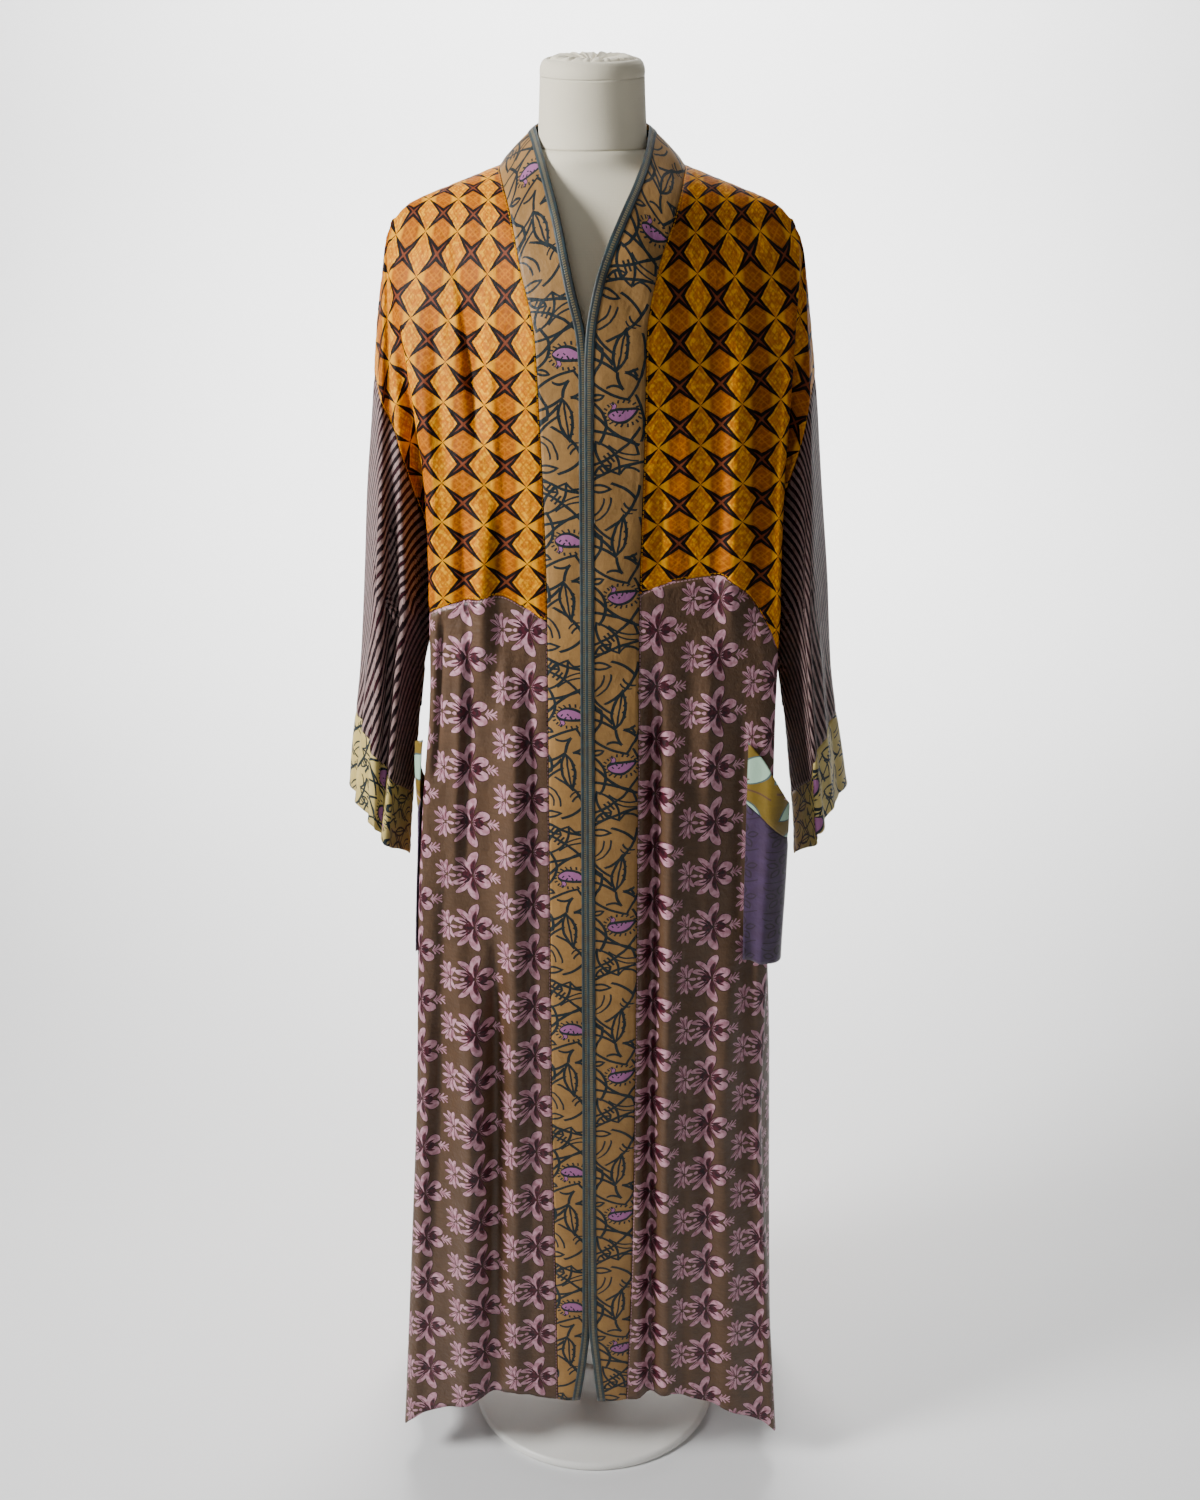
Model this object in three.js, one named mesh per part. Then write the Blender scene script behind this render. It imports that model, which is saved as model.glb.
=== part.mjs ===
// Long patchwork kimono robe hanging open-fronted on a limbless dress form.
// Millimetres, +Z up, front towards -Y. The origin is on the floor, under the pole.
//
// The robe is written as it is cut. A point of the flat cloth has two sizes: s, across from the
// centre line, and t, down from the shoulder line. garment() hangs such a point in space: cloth
// inside the shoulder tip hangs in straight columns, and cloth beyond it hangs from the tip like a
// napkin held at one point, as deep below the tip as it lies away from it in the flat.
import * as THREE from 'three';

/** A table with named columns: an object for each row. */
const table = (columns, rows) => rows.map((row) => (
  Object.fromEntries(columns.map((name, i) => [name, row[i]]))));

// ---- the cut, flat ----
const CLOTH = 1.6;            // wall of a cloth piece
const TAPE = 1.0;             // wall of the edging tape
const SEAM = 0.7;             // cloth left open between two pieces, which hang 0.3 or more apart
const BENT_SEAM = 1.0;        // the same where the cloth turns a corner at the seam
const PLEATED_SEAM = 4.4;     // and where the seam runs over the arm's pleats
const LAY = 0.5;              // air between a panel and what lies on it
const TAPE_LAY = 1.2;         // air between the band and its edging tape
const NECK_HALF = 86;         // centre to the neck point, along the shoulder
const TIP_S = 205;            // centre to the shoulder tip
const BODY_HALF = 360;        // centre to the side seam: the shoulder drops past the tip
const ARMHOLE = 320;          // shoulder line to underarm
const CUFF_S = 705;           // centre to the cuff seam
const SLEEVE_END = 785;       // centre to the cuff's edge
const BACK_NECK_DROP = 55;    // depth of the back neckline
const HEM_SIDE = 1322;        // shoulder line to hem, at the shoulder tip
const HEM_EDGE = 1375;        // and at the front edge, let down to make up for the chest
const HEM_RUN = 170;          // cloth from the shoulder tip over which the hem is let down
const BACK_HEM_DROP = 30;     // the same at the centre back
const TAPE_WIDTH = 8.5;       // edging tape along the band's inner edge

// ---- where it hangs ----
const NECK_Z = 1407;          // neck point of the shoulder line
const TIP_Z = 1366;           // shoulder tip
const FRONT_ROLL = 170;       // height over which the cloth rolls from shoulder to chest
const FRONT_REACH = 120;
const BACK_ROLL = 60;
const BACK_REACH = 100;
const NAPE_FADE = 200;        // height over which the back's neck width spreads to the panel's
const UNDERARM_ANGLE = Math.atan2(BODY_HALF - TIP_S, ARMHOLE);
const UNDERARM_DEPTH = Math.hypot(BODY_HALF - TIP_S, ARMHOLE);

// Plan of the hanging cloth at a depth below the shoulder tip. x is out from the centre, f is
// forward: edge = the front edge, body = the corner where front turns to side, seam = the valley
// under the arm and below it the side seam, under = the sleeve's underarm seam, arm = the
// sleeve's front corner, out = the sleeve's outer fold, pleat = the depth of the arm's pleat.
const PLAN_COLUMNS = [
  'depth', 'edgeX', 'edgeF', 'bodyX', 'bodyF', 'seamX', 'seamF', 'underX', 'armX', 'armF', 'outX',
  'pleat',
];
const LEFT_PLAN = table(PLAN_COLUMNS, [
  [ -41, 86, 119, 193,   0, 193,  0, 193, 193,  0, 193,  0],
  [   0, 73, 119, 193,   0, 193,  0, 193, 193,  0, 193,  0],
  [  40, 65, 119, 187,  27, 191, 21, 191, 196, 14, 198,  1],
  [ 100, 52, 120, 178,  56, 182, 44, 182, 198, 36, 208,  8],
  [ 180, 48, 121, 166,  84, 170, 46, 170, 201, 60, 216, 16],
  [ 260, 45, 122, 158, 100, 160, 31, 161, 203, 77, 225, 20],
  [ 356, 43, 124, 159, 107, 148,  0, 153, 206, 88, 232, 22],
  [ 450, 43, 125, 165, 107, 149,  0, 174, 210, 94, 241, 24],
  [ 560, 43, 126, 176, 106, 163,  0, 192, 219, 96, 257, 22],
  [ 665, 43, 127, 184, 106, 171,  0, 203, 226, 88, 264, 16],
  [ 900, 43, 129, 194, 110, 184,  0, 203, 226, 88, 264, 16],
  [1100, 41, 130, 207, 113, 194,  0, 203, 226, 88, 264, 16],
  [1330, 39, 130, 223, 115, 206,  0, 203, 226, 88, 264, 16],
]);
const RIGHT_PLAN = table(PLAN_COLUMNS, [
  [ -41, 86, 119, 193,   0, 193,  0, 193, 193,  0, 193, 0],
  [   0, 74, 119, 193,   0, 193,  0, 193, 193,  0, 193, 0],
  [  40, 60, 119, 194,  27, 195, 21, 195, 199, 14, 201, 1],
  [ 100, 49, 120, 191,  52, 188, 42, 188, 202, 36, 210, 3],
  [ 180, 48, 121, 187,  76, 181, 42, 181, 206, 60, 220, 3],
  [ 260, 46, 122, 184,  88, 172, 28, 174, 208, 76, 228, 6],
  [ 356, 44, 124, 185,  93, 160,  0, 167, 211, 86, 238, 7],
  [ 450, 44, 125, 187,  96, 162,  0, 188, 216, 92, 246, 7],
  [ 560, 44, 126, 187,  97, 171,  0, 203, 226, 92, 266, 7],
  [ 665, 44, 127, 187,  99, 178,  0, 212, 236, 84, 282, 6],
  [ 900, 43, 129, 184, 106, 194,  0, 212, 236, 84, 282, 6],
  [1100, 41, 130, 196, 117, 199,  0, 212, 236, 84, 282, 6],
  [1330, 34, 130, 213, 128, 206,  0, 212, 236, 84, 282, 6],
]);
const PLAN = { left: LEFT_PLAN, right: RIGHT_PLAN };

// The arm's pleat: how far round the arm its ridge, valley and corner lie, from underarm to outer
// fold, and on each side how far out they hang between the seam and the arm's front corner.
const ARM_ROUND = { ridge: 0.36, valley: 0.47, corner: 0.6 };
const ARM_PLEAT = {
  left: { ridge: 0.55, valley: 0.76 },
  right: { ridge: 0.74, valley: 0.86 },
};
const RIDGE_BACK = 3;         // the ridge lies this far behind the corner
const BACK_PLAN = [
  { depth: -41, centre: 100, corner: 0 },
  { depth: 0, centre: 100, corner: 0 },
  { depth: 100, centre: 100, corner: 55 },
  { depth: 260, centre: 99, corner: 84 },
  { depth: 450, centre: 104, corner: 94 },
  { depth: 665, centre: 114, corner: 102 },
  { depth: 1330, centre: 122, corner: 112 },
];

// The pleat in each side of the body, and the largest folds of the panels. at and width are in
// cloth from the centre, out is how far the fold stands forward (or back), top and foot its reach.
const SIDE_PLEAT = { inAt: 0.38, in: 20, outAt: 0.78, out: 3, grows: 120 };
const FOLD_FADE = { top: 120, foot: 90 };
const FOLDS = [
  { panel: 'left front', at: 124, width: 20, out: -6, top: 1345, foot: 1150 },
  { panel: 'left front', at: 130, width: 22, out: 7, top: 1150, foot: 900 },
  { panel: 'left front', at: 134, width: 24, out: 13, top: 640, foot: -100 },
  { panel: 'left front', at: 84, width: 18, out: 8, top: 960, foot: -100 },
  { panel: 'left front', at: 107, width: 14, out: -7, top: 700, foot: -100 },
  { panel: 'right front', at: 172, width: 16, out: -9, top: 1310, foot: 980 },
  { panel: 'right front', at: 146, width: 20, out: 6, top: 1300, foot: 940 },
  { panel: 'right front', at: 62, width: 14, out: -12, top: 980, foot: -100 },
  { panel: 'right front', at: 82, width: 18, out: 8, top: 900, foot: -100 },
  { panel: 'right front', at: 150, width: 26, out: 7, top: 700, foot: -100 },
  { panel: 'left back', at: 56, width: 26, out: -11, top: 1200, foot: -100 },
  { panel: 'left back', at: 112, width: 28, out: 10, top: 1050, foot: -100 },
  { panel: 'right back', at: 30, width: 26, out: 9, top: 980, foot: -100 },
  { panel: 'right back', at: 84, width: 24, out: -12, top: 1150, foot: -100 },
  { panel: 'right back', at: 138, width: 26, out: 9, top: 900, foot: -100 },
];

// Height of the seam between the upper and lower front, at a width of cloth from the centre.
const YOKE = {
  left: [
    { at: 40, z: 997 }, { at: 75, z: 1014 }, { at: 108, z: 1024 }, { at: 140, z: 1020 },
    { at: 205, z: 1004 }, { at: 360, z: 969 },
  ],
  right: [
    { at: 40, z: 1026 }, { at: 85, z: 1038 }, { at: 130, z: 1041 }, { at: 160, z: 1024 },
    { at: 190, z: 984 }, { at: 205, z: 964 }, { at: 360, z: 930 },
  ],
};

// Inner edge of the neckband where its seam stands at a height: x out from the centre, below zero
// where the right front laps over the left, f forward, rise = how far it stands above the seam.
const BAND = {
  left: [
    { z: 1407, x: 52.5, f: 2, rise: 33 }, { z: 1387, x: 45, f: 36, rise: 32 },
    { z: 1365, x: 37, f: 64, rise: 30 }, { z: 1343, x: 29.5, f: 88, rise: 27 },
    { z: 1314, x: 22, f: 106, rise: 22 }, { z: 1290, x: 15.5, f: 115, rise: 17 },
    { z: 1262, x: 6.5, f: 121, rise: 7 }, { z: 1236, x: 4, f: 122.5, rise: 1 },
    { z: 500, x: 3, f: 129, rise: 0 }, { z: 200, x: 4, f: 130, rise: 0 },
    { z: 150, x: 8, f: 130, rise: 0 }, { z: 60, x: 21, f: 130, rise: 0 },
  ],
  right: [
    { z: 1407, x: 52.5, f: 2, rise: 33 }, { z: 1387, x: 48, f: 36, rise: 32 },
    { z: 1365, x: 38, f: 64, rise: 30 }, { z: 1343, x: 25, f: 90, rise: 27 },
    { z: 1314, x: 10, f: 111, rise: 22 }, { z: 1290, x: 1, f: 120, rise: 17 },
    { z: 1262, x: -5.5, f: 126, rise: 7 }, { z: 1236, x: -7, f: 127.5, rise: 1 },
    { z: 500, x: -6, f: 134, rise: 0 }, { z: 200, x: -5, f: 135, rise: 0 },
    { z: 150, x: -1, f: 133, rise: 0 }, { z: 60, x: 8, f: 131, rise: 0 },
  ],
};
const BAND_COLUMN = 40;       // cloth from the centre where the band's rows meet yoke and hem
const BAND_END = 0.03;        // share of a row left open at the band's seam behind the neck
const BAND_STEP = 0.2;        // step along or across the band over which its slope is taken
const BACK_NECK = { x: 52.5, f: 2, reach: 51, z: 1440, rise: 7 };

// Patch pockets at the sides. at = cloth from the centre, top = the opening's edge, seam = facing
// to bag, foot = the bag's lower edge, off = how far the pocket stands away from the panel.
const POCKET_SETTLE = 0.25;   // share of that distance left at the foot
const POCKET = {
  right: [
    { at: 166, top: 870, seam: 805, foot: 634, off: 1 },
    { at: 184, top: 850, seam: 790, foot: 630, off: 6 },
    { at: 205, top: 806, seam: 768, foot: 629, off: 15 },
    { at: 226, top: 776, seam: 757, foot: 632, off: 17 },
    { at: 262, top: 768, seam: 748, foot: 640, off: 12 },
    { at: 300, top: 764, seam: 742, foot: 648, off: 4 },
  ],
  left: [
    { at: 206, top: 872, seam: 806, foot: 640, off: 3 },
    { at: 222, top: 862, seam: 790, foot: 636, off: 12 },
    { at: 240, top: 826, seam: 778, foot: 634, off: 11 },
    { at: 262, top: 802, seam: 768, foot: 636, off: 6 },
    { at: 300, top: 790, seam: 758, foot: 642, off: 4 },
    { at: 334, top: 784, seam: 752, foot: 650, off: 3 },
  ],
};

// ---- the dress form and its stand ----
const TORSO = [
  { z: 1422, x: 51, front: 50, back: 43 },
  { z: 1413, x: 59, front: 52, back: 44 },
  { z: 1406, x: 70, front: 53, back: 45 },
  { z: 1399, x: 94, front: 55, back: 48 },
  { z: 1390, x: 123, front: 58, back: 53 },
  { z: 1378, x: 154, front: 62, back: 59 },
  { z: 1367, x: 177.5, front: 66, back: 64 },
  { z: 1350, x: 184.5, front: 73, back: 69 },
  { z: 1320, x: 180, front: 84, back: 76 },
  { z: 1270, x: 169, front: 97, back: 83 },
  { z: 1210, x: 158, front: 105, back: 86 },
  { z: 1150, x: 147, front: 104, back: 82 },
  { z: 1080, x: 130, front: 95, back: 74 },
  { z: 1000, x: 119, front: 87, back: 71 },
  { z: 930, x: 130, front: 92, back: 82 },
  { z: 860, x: 144, front: 96, back: 92 },
  { z: 800, x: 149, front: 95, back: 95 },
  { z: 770, x: 146, front: 92, back: 92 },
  { z: 758, x: 137, front: 84, back: 84 },
];
const NECK = [
  { z: 1422.4, y: -4, x: 50.2, deep: 48, tilt: 0 },
  { z: 1440, y: -5, x: 50, deep: 46.5, tilt: 2 },
  { z: 1462, y: -8, x: 49, deep: 46, tilt: 6 },
  { z: 1486, y: -12, x: 48, deep: 46, tilt: 10 },
];
const CAP = [
  { up: 0.4, wide: 1 }, { up: 5, wide: 1.02 }, { up: 10, wide: 0.99 }, { up: 14, wide: 0.92 },
  { up: 16, wide: 0.83 }, { up: 16.4, wide: 0.74 }, { up: 14.4, wide: 0.62 },
];
const RING_SIDES = 40;
const TURNED_SIDES = 48;
const RING_POWER = 2.2;
const NECK_ROOM = 12;         // the neck's root stands in the open neckline, under the band
const FORM_CLEAR = 6;         // cloth's middle to the dress form, away from the shoulder line
const FORM_SHARE = 0.3;       // and near that line, as a share of how far out the cloth hangs
const POLE_R = 12.5;
const BASE_R = 140;
const BASE_THICK = 10;
const HUB_R = 24;
const HUB_TOP = 44;
const SOCKET_R = 34;
const SOCKET_DEEP = 14;
const TOUCH = 0.3;

const FINISH = {
  amber: { color: 0xc9821c, roughness: 0.5, metalness: 0 },
  floral: { color: 0x7a5a45, roughness: 0.55, metalness: 0 },
  band: { color: 0xc9a866, roughness: 0.6, metalness: 0 },
  tape: { color: 0x3f5f66, roughness: 0.7, metalness: 0 },
  stripe: { color: 0x6a5550, roughness: 0.6, metalness: 0 },
  facing: { color: 0xb59a24, roughness: 0.55, metalness: 0 },
  bag: { color: 0x5f466e, roughness: 0.6, metalness: 0 },
  jersey: { color: 0xd7d2c4, roughness: 0.85, metalness: 0 },
  steel: { color: 0xe2e0da, roughness: 0.45, metalness: 0.1 },
};

// ---- small helpers ----
const clamp = (value, low, high) => Math.min(high, Math.max(low, value));
const mix = (a, b, k) => a + (b - a) * k;
const mixPoint = (a, b, k) => a.map((value, i) => mix(value, b[i], k));
const ease = (k) => { const c = clamp(k, 0, 1); return c * c * (3 - 2 * c); };

/** Reads a column of a table at a position, with no overshoot between rows. */
function read(rows, key, column, at) {
  const rising = rows[rows.length - 1][key] > rows[0][key];
  const before = (a, b) => (rising ? a <= b : a >= b);
  if (before(at, rows[0][key])) return rows[0][column];
  for (let i = 1; i < rows.length; i += 1) {
    if (!before(at, rows[i][key])) continue;
    const slope = (a, b) => (rows[b][column] - rows[a][column]) / (rows[b][key] - rows[a][key]);
    const here = slope(i - 1, i);
    const limited = (other) => (here * other <= 0 ? 0 : 2 * here * other / (here + other));
    const start = i > 1 ? limited(slope(i - 2, i - 1)) : here;
    const end = i < rows.length - 1 ? limited(slope(i, i + 1)) : here;
    const span = rows[i][key] - rows[i - 1][key];
    const k = (at - rows[i - 1][key]) / span;
    const hermite = (k * k * (3 - 2 * k)) * (rows[i][column] - rows[i - 1][column]);
    return rows[i - 1][column] + hermite + span * k * (1 - k) * ((1 - k) * start - k * end);
  }
  return rows[rows.length - 1][column];
}

// ---- how the cloth hangs ----
const sign = (side) => (side === 'left' ? -1 : 1);
const plan = (side, column, depth) => read(PLAN[side], 'depth', column, depth);
const rollOf = (face) => (face > 0 ? FRONT_ROLL : BACK_ROLL);
const reachOf = (face) => (face > 0 ? FRONT_REACH : BACK_REACH);
const rollLength = (face) => Math.PI / 2 * Math.hypot(rollOf(face), reachOf(face)) / Math.SQRT2;
const inward = (s) => clamp((TIP_S - s) / (TIP_S - NECK_HALF), 0, 1);
const shoulderZ = (s) => mix(TIP_Z, NECK_Z, inward(s));

/** Height of a column of cloth, and how far it has rolled over the shoulder. */
function hang(face, s, t) {
  const share = inward(s);
  const length = rollLength(face) * share;
  const drop = rollOf(face) * share;
  if (t >= length) return { z: shoulderZ(s) - drop - (t - length), rolled: 1 };
  const turn = Math.PI / 2 * t / length;
  return { z: shoulderZ(s) - drop * (1 - Math.cos(turn)), rolled: Math.sin(turn) };
}

/** Cloth below the shoulder line at a height, for a place clear of the shoulder's roll. */
function downTo(face, s, z) {
  if (s > TIP_S) return Math.sqrt((TIP_Z - z) ** 2 - (s - TIP_S) ** 2);
  const share = inward(s);
  return shoulderZ(s) - z + share * (rollLength(face) - rollOf(face));
}

/** The corners of one side's section at a depth: cloth from the section's start, x and f. */
function corners(side, face, depth, piece) {
  const p = (column) => plan(side, column, depth);
  const back = (column) => read(BACK_PLAN, 'depth', column, depth);
  const nape = {
    l: NECK_HALF,
    x: mix(NECK_HALF, NECK_HALF * p('bodyX') / TIP_S, ease((depth + NECK_Z - TIP_Z) / NAPE_FADE)),
    f: mix(back('centre'), back('corner'), (NECK_HALF / TIP_S) ** 2),
  };
  const front = [{ l: 0, x: p('edgeX'), f: p('edgeF') }];
  const start = face > 0 ? front : [{ l: 0, x: 0, f: back('centre') }, nape];
  const bodyAt = TIP_S - (face > 0 ? p('edgeX') : 0);
  const body = { l: bodyAt, x: p('bodyX'), f: face > 0 ? p('bodyF') : back('corner') };
  const arm = { x: p('armX'), f: p('armF') };
  const seam = { x: p('seamX'), f: p('seamF') };
  const below = depth > UNDERARM_DEPTH;
  const sleeve = (from, first) => {
    const length = depth * (Math.PI / 2 - from.angle);
    const at = (k, x, f) => ({ l: first + length * k, x, f });
    return [
      at(ARM_ROUND.ridge, mix(from.x, arm.x, ARM_PLEAT[side].ridge), arm.f - RIDGE_BACK),
      at(ARM_ROUND.valley, mix(from.x, arm.x, ARM_PLEAT[side].valley), arm.f - p('pleat')),
      at(ARM_ROUND.corner, arm.x, arm.f),
      at(1, p('outX'), 0),
    ];
  };
  if (!below) {
    const x = piece === 'sleeve' ? p('underX') : seam.x;
    const valley = { l: bodyAt + depth * UNDERARM_ANGLE, x, f: seam.f };
    return [...start, body, valley, ...sleeve({ ...valley, angle: UNDERARM_ANGLE }, valley.l)];
  }
  if (piece === 'sleeve') {
    const under = { x: p('underX'), f: 0, angle: Math.acos(ARMHOLE / depth) };
    return [{ l: 0, ...under }, ...sleeve(under, 0)];
  }
  const length = depth * Math.asin((BODY_HALF - TIP_S) / depth);
  const grown = ease((depth - UNDERARM_DEPTH) / SIDE_PLEAT.grows);
  const along = (k, push) => (
    { l: bodyAt + length * k, x: mix(body.x, seam.x, k) + push * grown, f: mix(body.f, 0, k) });
  const pleat = [along(SIDE_PLEAT.inAt, -SIDE_PLEAT.in), along(SIDE_PLEAT.outAt, SIDE_PLEAT.out)];
  return [...start, body, ...pleat, { l: bodyAt + length, x: seam.x, f: 0 }];
}

/** A point along a section's corners; past a seam the section goes on mirrored. */
function along(points, l, mirroredStart) {
  const end = points[points.length - 1].l;
  let place = l;
  let flip = 1;
  if (place > end) { place = 2 * end - place; flip = -1; }
  if (place < 0 && mirroredStart) { place = -place; flip = -flip; }
  let i = 1;
  while (i < points.length - 1 && points[i].l < place) i += 1;
  const [a, b] = [points[i - 1], points[i]];
  const k = b.l > a.l ? (place - a.l) / (b.l - a.l) : 0;
  return { x: mix(a.x, b.x, k), f: flip * mix(a.f, b.f, k) };
}

const ROUNDING = [[-1, 1], [-0.5, 2], [0, 3], [0.5, 2], [1, 1]];
const ROUND_REACH = 30;
const ROUND_SHARE = 0.12;     // of the depth, where that is less
const SHARP = { deep: 90, wide: 60 };

/** The same with rounded corners, which stay sharp at the underarm. */
function rounded(points, l, depth, mirroredStart, seamAt) {
  const near = 1 - ease(Math.abs(depth - UNDERARM_DEPTH) / SHARP.deep);
  const atSeam = 1 - ease(Math.abs(l - seamAt) / SHARP.wide);
  const reach = Math.min(ROUND_REACH, ROUND_SHARE * Math.max(depth, 1)) * (1 - near * atSeam);
  const out = { x: 0, f: 0 };
  const total = ROUNDING.reduce((sum, [, weight]) => sum + weight, 0);
  for (const [step, weight] of ROUNDING) {
    const point = along(points, l + step * reach, mirroredStart);
    out.x += point.x * weight / total;
    out.f += point.f * weight / total;
  }
  return out;
}

/** How far the large folds move a column forward at a height. */
function fold(side, face, s, z) {
  const name = `${side} ${face > 0 ? 'front' : 'back'}`;
  let out = 0;
  for (const row of FOLDS.filter((one) => one.panel === name)) {
    const across = 1 - ease(Math.abs(s - row.at) / row.width);
    const reach = ease((row.top - z) / FOLD_FADE.top) * ease((z - row.foot) / FOLD_FADE.foot);
    out += row.out * across * reach;
  }
  return out;
}

/** Hangs a point of flat cloth. face is 1 in front and -1 behind; piece is 'body' or 'sleeve'. */
function garment(side, face, s, t, piece) {
  if (t < 0) return garment(side, -face, s, -t, piece);
  if (s < 0) return garment(side === 'left' ? 'right' : 'left', face, -s, t, piece);
  if (s > BODY_HALF && t > ARMHOLE) {
    if (piece === 'body') return garment(side, -face, 2 * BODY_HALF - s, t, piece);
    return garment(side, -face, s, 2 * ARMHOLE - t, piece);
  }
  const inside = s <= TIP_S;
  const hung = { z: TIP_Z - Math.hypot(s - TIP_S, t), rolled: 1 };
  const { z, rolled } = inside ? hang(face, s, t) : hung;
  const depth = TIP_Z - z;
  const points = corners(side, face, depth, piece);
  const sleeveOnly = piece === 'sleeve' && depth > UNDERARM_DEPTH;
  const angle = Math.atan2(s - TIP_S, t);
  const first = face > 0 ? plan(side, 'edgeX', depth) : 0;
  const bodyAt = sleeveOnly ? 0 : TIP_S - first;
  let l = inside ? s - first : bodyAt + depth * angle;
  if (sleeveOnly) l = depth * (angle - Math.acos(ARMHOLE / depth));
  const seamAt = sleeveOnly ? 0 : bodyAt + Math.min(depth, UNDERARM_DEPTH) * UNDERARM_ANGLE;
  const at = rounded(points, l, depth, sleeveOnly, seamAt);
  const f = (at.f + fold(side, face, s, z)) * rolled;
  return [sign(side) * at.x, -face * f, z];
}

/** Cloth coordinate of the front edge in a row t, where the neckband is sewn on. */
const frontEdge = (side, t) => plan(side, 'edgeX', TIP_Z - hang(1, NECK_HALF, Math.max(t, 0)).z);

// ---- solids from grids of cloth ----

/** Two pieces take the same normal at the seam between them: the nearest place on that seam. */
function ontoSeam(s, t) {
  const seam = [BODY_HALF, CUFF_S].find((at) => Math.abs(Math.abs(s) - at) < PLEATED_SEAM);
  return [seam ? Math.sign(s) * seam : s, Math.abs(t) < PLEATED_SEAM ? 0 : t];
}

/** Unit normal of a surface given by two functions of u and v, flipped by turn. */
function normalOf(point, u, v, du, dv, turn) {
  const a = new THREE.Vector3(...point(u + du, v)).sub(new THREE.Vector3(...point(u - du, v)));
  const b = new THREE.Vector3(...point(u, v + dv)).sub(new THREE.Vector3(...point(u, v - dv)));
  return a.cross(b).normalize().multiplyScalar(turn);
}

/** Closes a grid of outer points over a grid of inner points into one solid. */
function solid(outer, inner, loop = false) {
  const rows = outer.length;
  const cols = outer[0].length;
  const positions = [...outer.flat(), ...inner.flat()].flat();
  const at = (layer, i, j) => layer * rows * cols + i * cols + (j % cols);
  const faces = [];
  const quad = (a, b, c, d) => faces.push(a, b, c, a, c, d);
  const last = loop ? cols : cols - 1;
  for (let i = 0; i < rows - 1; i += 1) {
    for (let j = 0; j < last; j += 1) {
      quad(at(0, i, j), at(0, i + 1, j), at(0, i + 1, j + 1), at(0, i, j + 1));
      quad(at(1, i, j), at(1, i, j + 1), at(1, i + 1, j + 1), at(1, i + 1, j));
    }
  }
  for (let j = 0; j < last; j += 1) {
    quad(at(0, 0, j), at(0, 0, j + 1), at(1, 0, j + 1), at(1, 0, j));
    quad(at(0, rows - 1, j), at(1, rows - 1, j), at(1, rows - 1, j + 1), at(0, rows - 1, j + 1));
  }
  if (!loop) {
    for (let i = 0; i < rows - 1; i += 1) {
      quad(at(0, i, 0), at(1, i, 0), at(1, i + 1, 0), at(0, i + 1, 0));
      quad(at(0, i, cols - 1), at(0, i + 1, cols - 1), at(1, i + 1, cols - 1), at(1, i, cols - 1));
    }
  }
  if (volume(positions, faces) < 0) faces.reverse();
  const geometry = new THREE.BufferGeometry();
  geometry.setAttribute('position', new THREE.Float32BufferAttribute(positions, 3));
  geometry.setIndex(faces);
  return geometry;
}

/** Signed volume, below zero where the faces point in. */
function volume(positions, faces) {
  const point = (i) => new THREE.Vector3(...positions.slice(3 * i, 3 * i + 3));
  let sum = 0;
  for (let i = 0; i < faces.length; i += 3) {
    sum += point(faces[i]).dot(point(faces[i + 1]).cross(point(faces[i + 2])));
  }
  return sum;
}

const CLOTH_STEP = 3;         // step over which the cloth's slope is taken

/** A wall of cloth on a surface point(u, v); lift moves it out along the surface's normal. */
function wall(point, turn, rows, options = {}) {
  const { thick = CLOTH, lift = () => 0, loop = false, seat = ontoSeam } = options;
  const { du = CLOTH_STEP, dv = CLOTH_STEP } = options;
  const layer = (side) => rows.map((row) => row.map(([u, v]) => {
    const normal = normalOf(point, ...seat(u, v), du, dv, turn);
    const out = lift(u, v) + side * thick / 2;
    return point(u, v).map((value, i) => value + normal.getComponent(i) * out);
  }));
  return solid(layer(1), layer(-1), loop);
}

/** Rounded plan ring of the dress form. */
function ring(sides, rx, front, back) {
  const root = (value) => Math.sign(value) * Math.abs(value) ** (2 / RING_POWER);
  return Array.from({ length: sides }, (_, i) => {
    const turn = 2 * Math.PI * i / sides;
    const y = root(Math.sin(turn));
    return [rx * root(Math.cos(turn)), y * (y < 0 ? front : back)];
  });
}

/** Solid through rings of points, closed by a fan at each end. */
function loft(rings) {
  const sides = rings[0].length;
  const middle = (points) => [0, 1, 2].map((i) => points.reduce((sum, p) => sum + p[i], 0) / sides);
  const positions = [...rings.flat(), middle(rings[0]), middle(rings[rings.length - 1])].flat();
  const top = rings.length * sides;
  const faces = [];
  for (let j = 0; j < sides; j += 1) {
    const next = (j + 1) % sides;
    for (let i = 0; i < rings.length - 1; i += 1) {
      const [a, b] = [i * sides, (i + 1) * sides];
      faces.push(a + j, a + next, b + next, a + j, b + next, b + j);
    }
    const end = (rings.length - 1) * sides;
    faces.push(top, next, j, top + 1, end + j, end + next);
  }
  if (volume(positions, faces) < 0) faces.reverse();
  const geometry = new THREE.BufferGeometry();
  geometry.setAttribute('position', new THREE.Float32BufferAttribute(positions, 3));
  geometry.setIndex(faces);
  return geometry;
}

const model = new THREE.Group();

/** Adds a named piece with its finish. */
function add(name, finish, geometry) {
  const mesh = new THREE.Mesh(geometry, new THREE.MeshStandardMaterial(FINISH[finish]));
  mesh.name = name;
  model.add(mesh);
}

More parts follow.
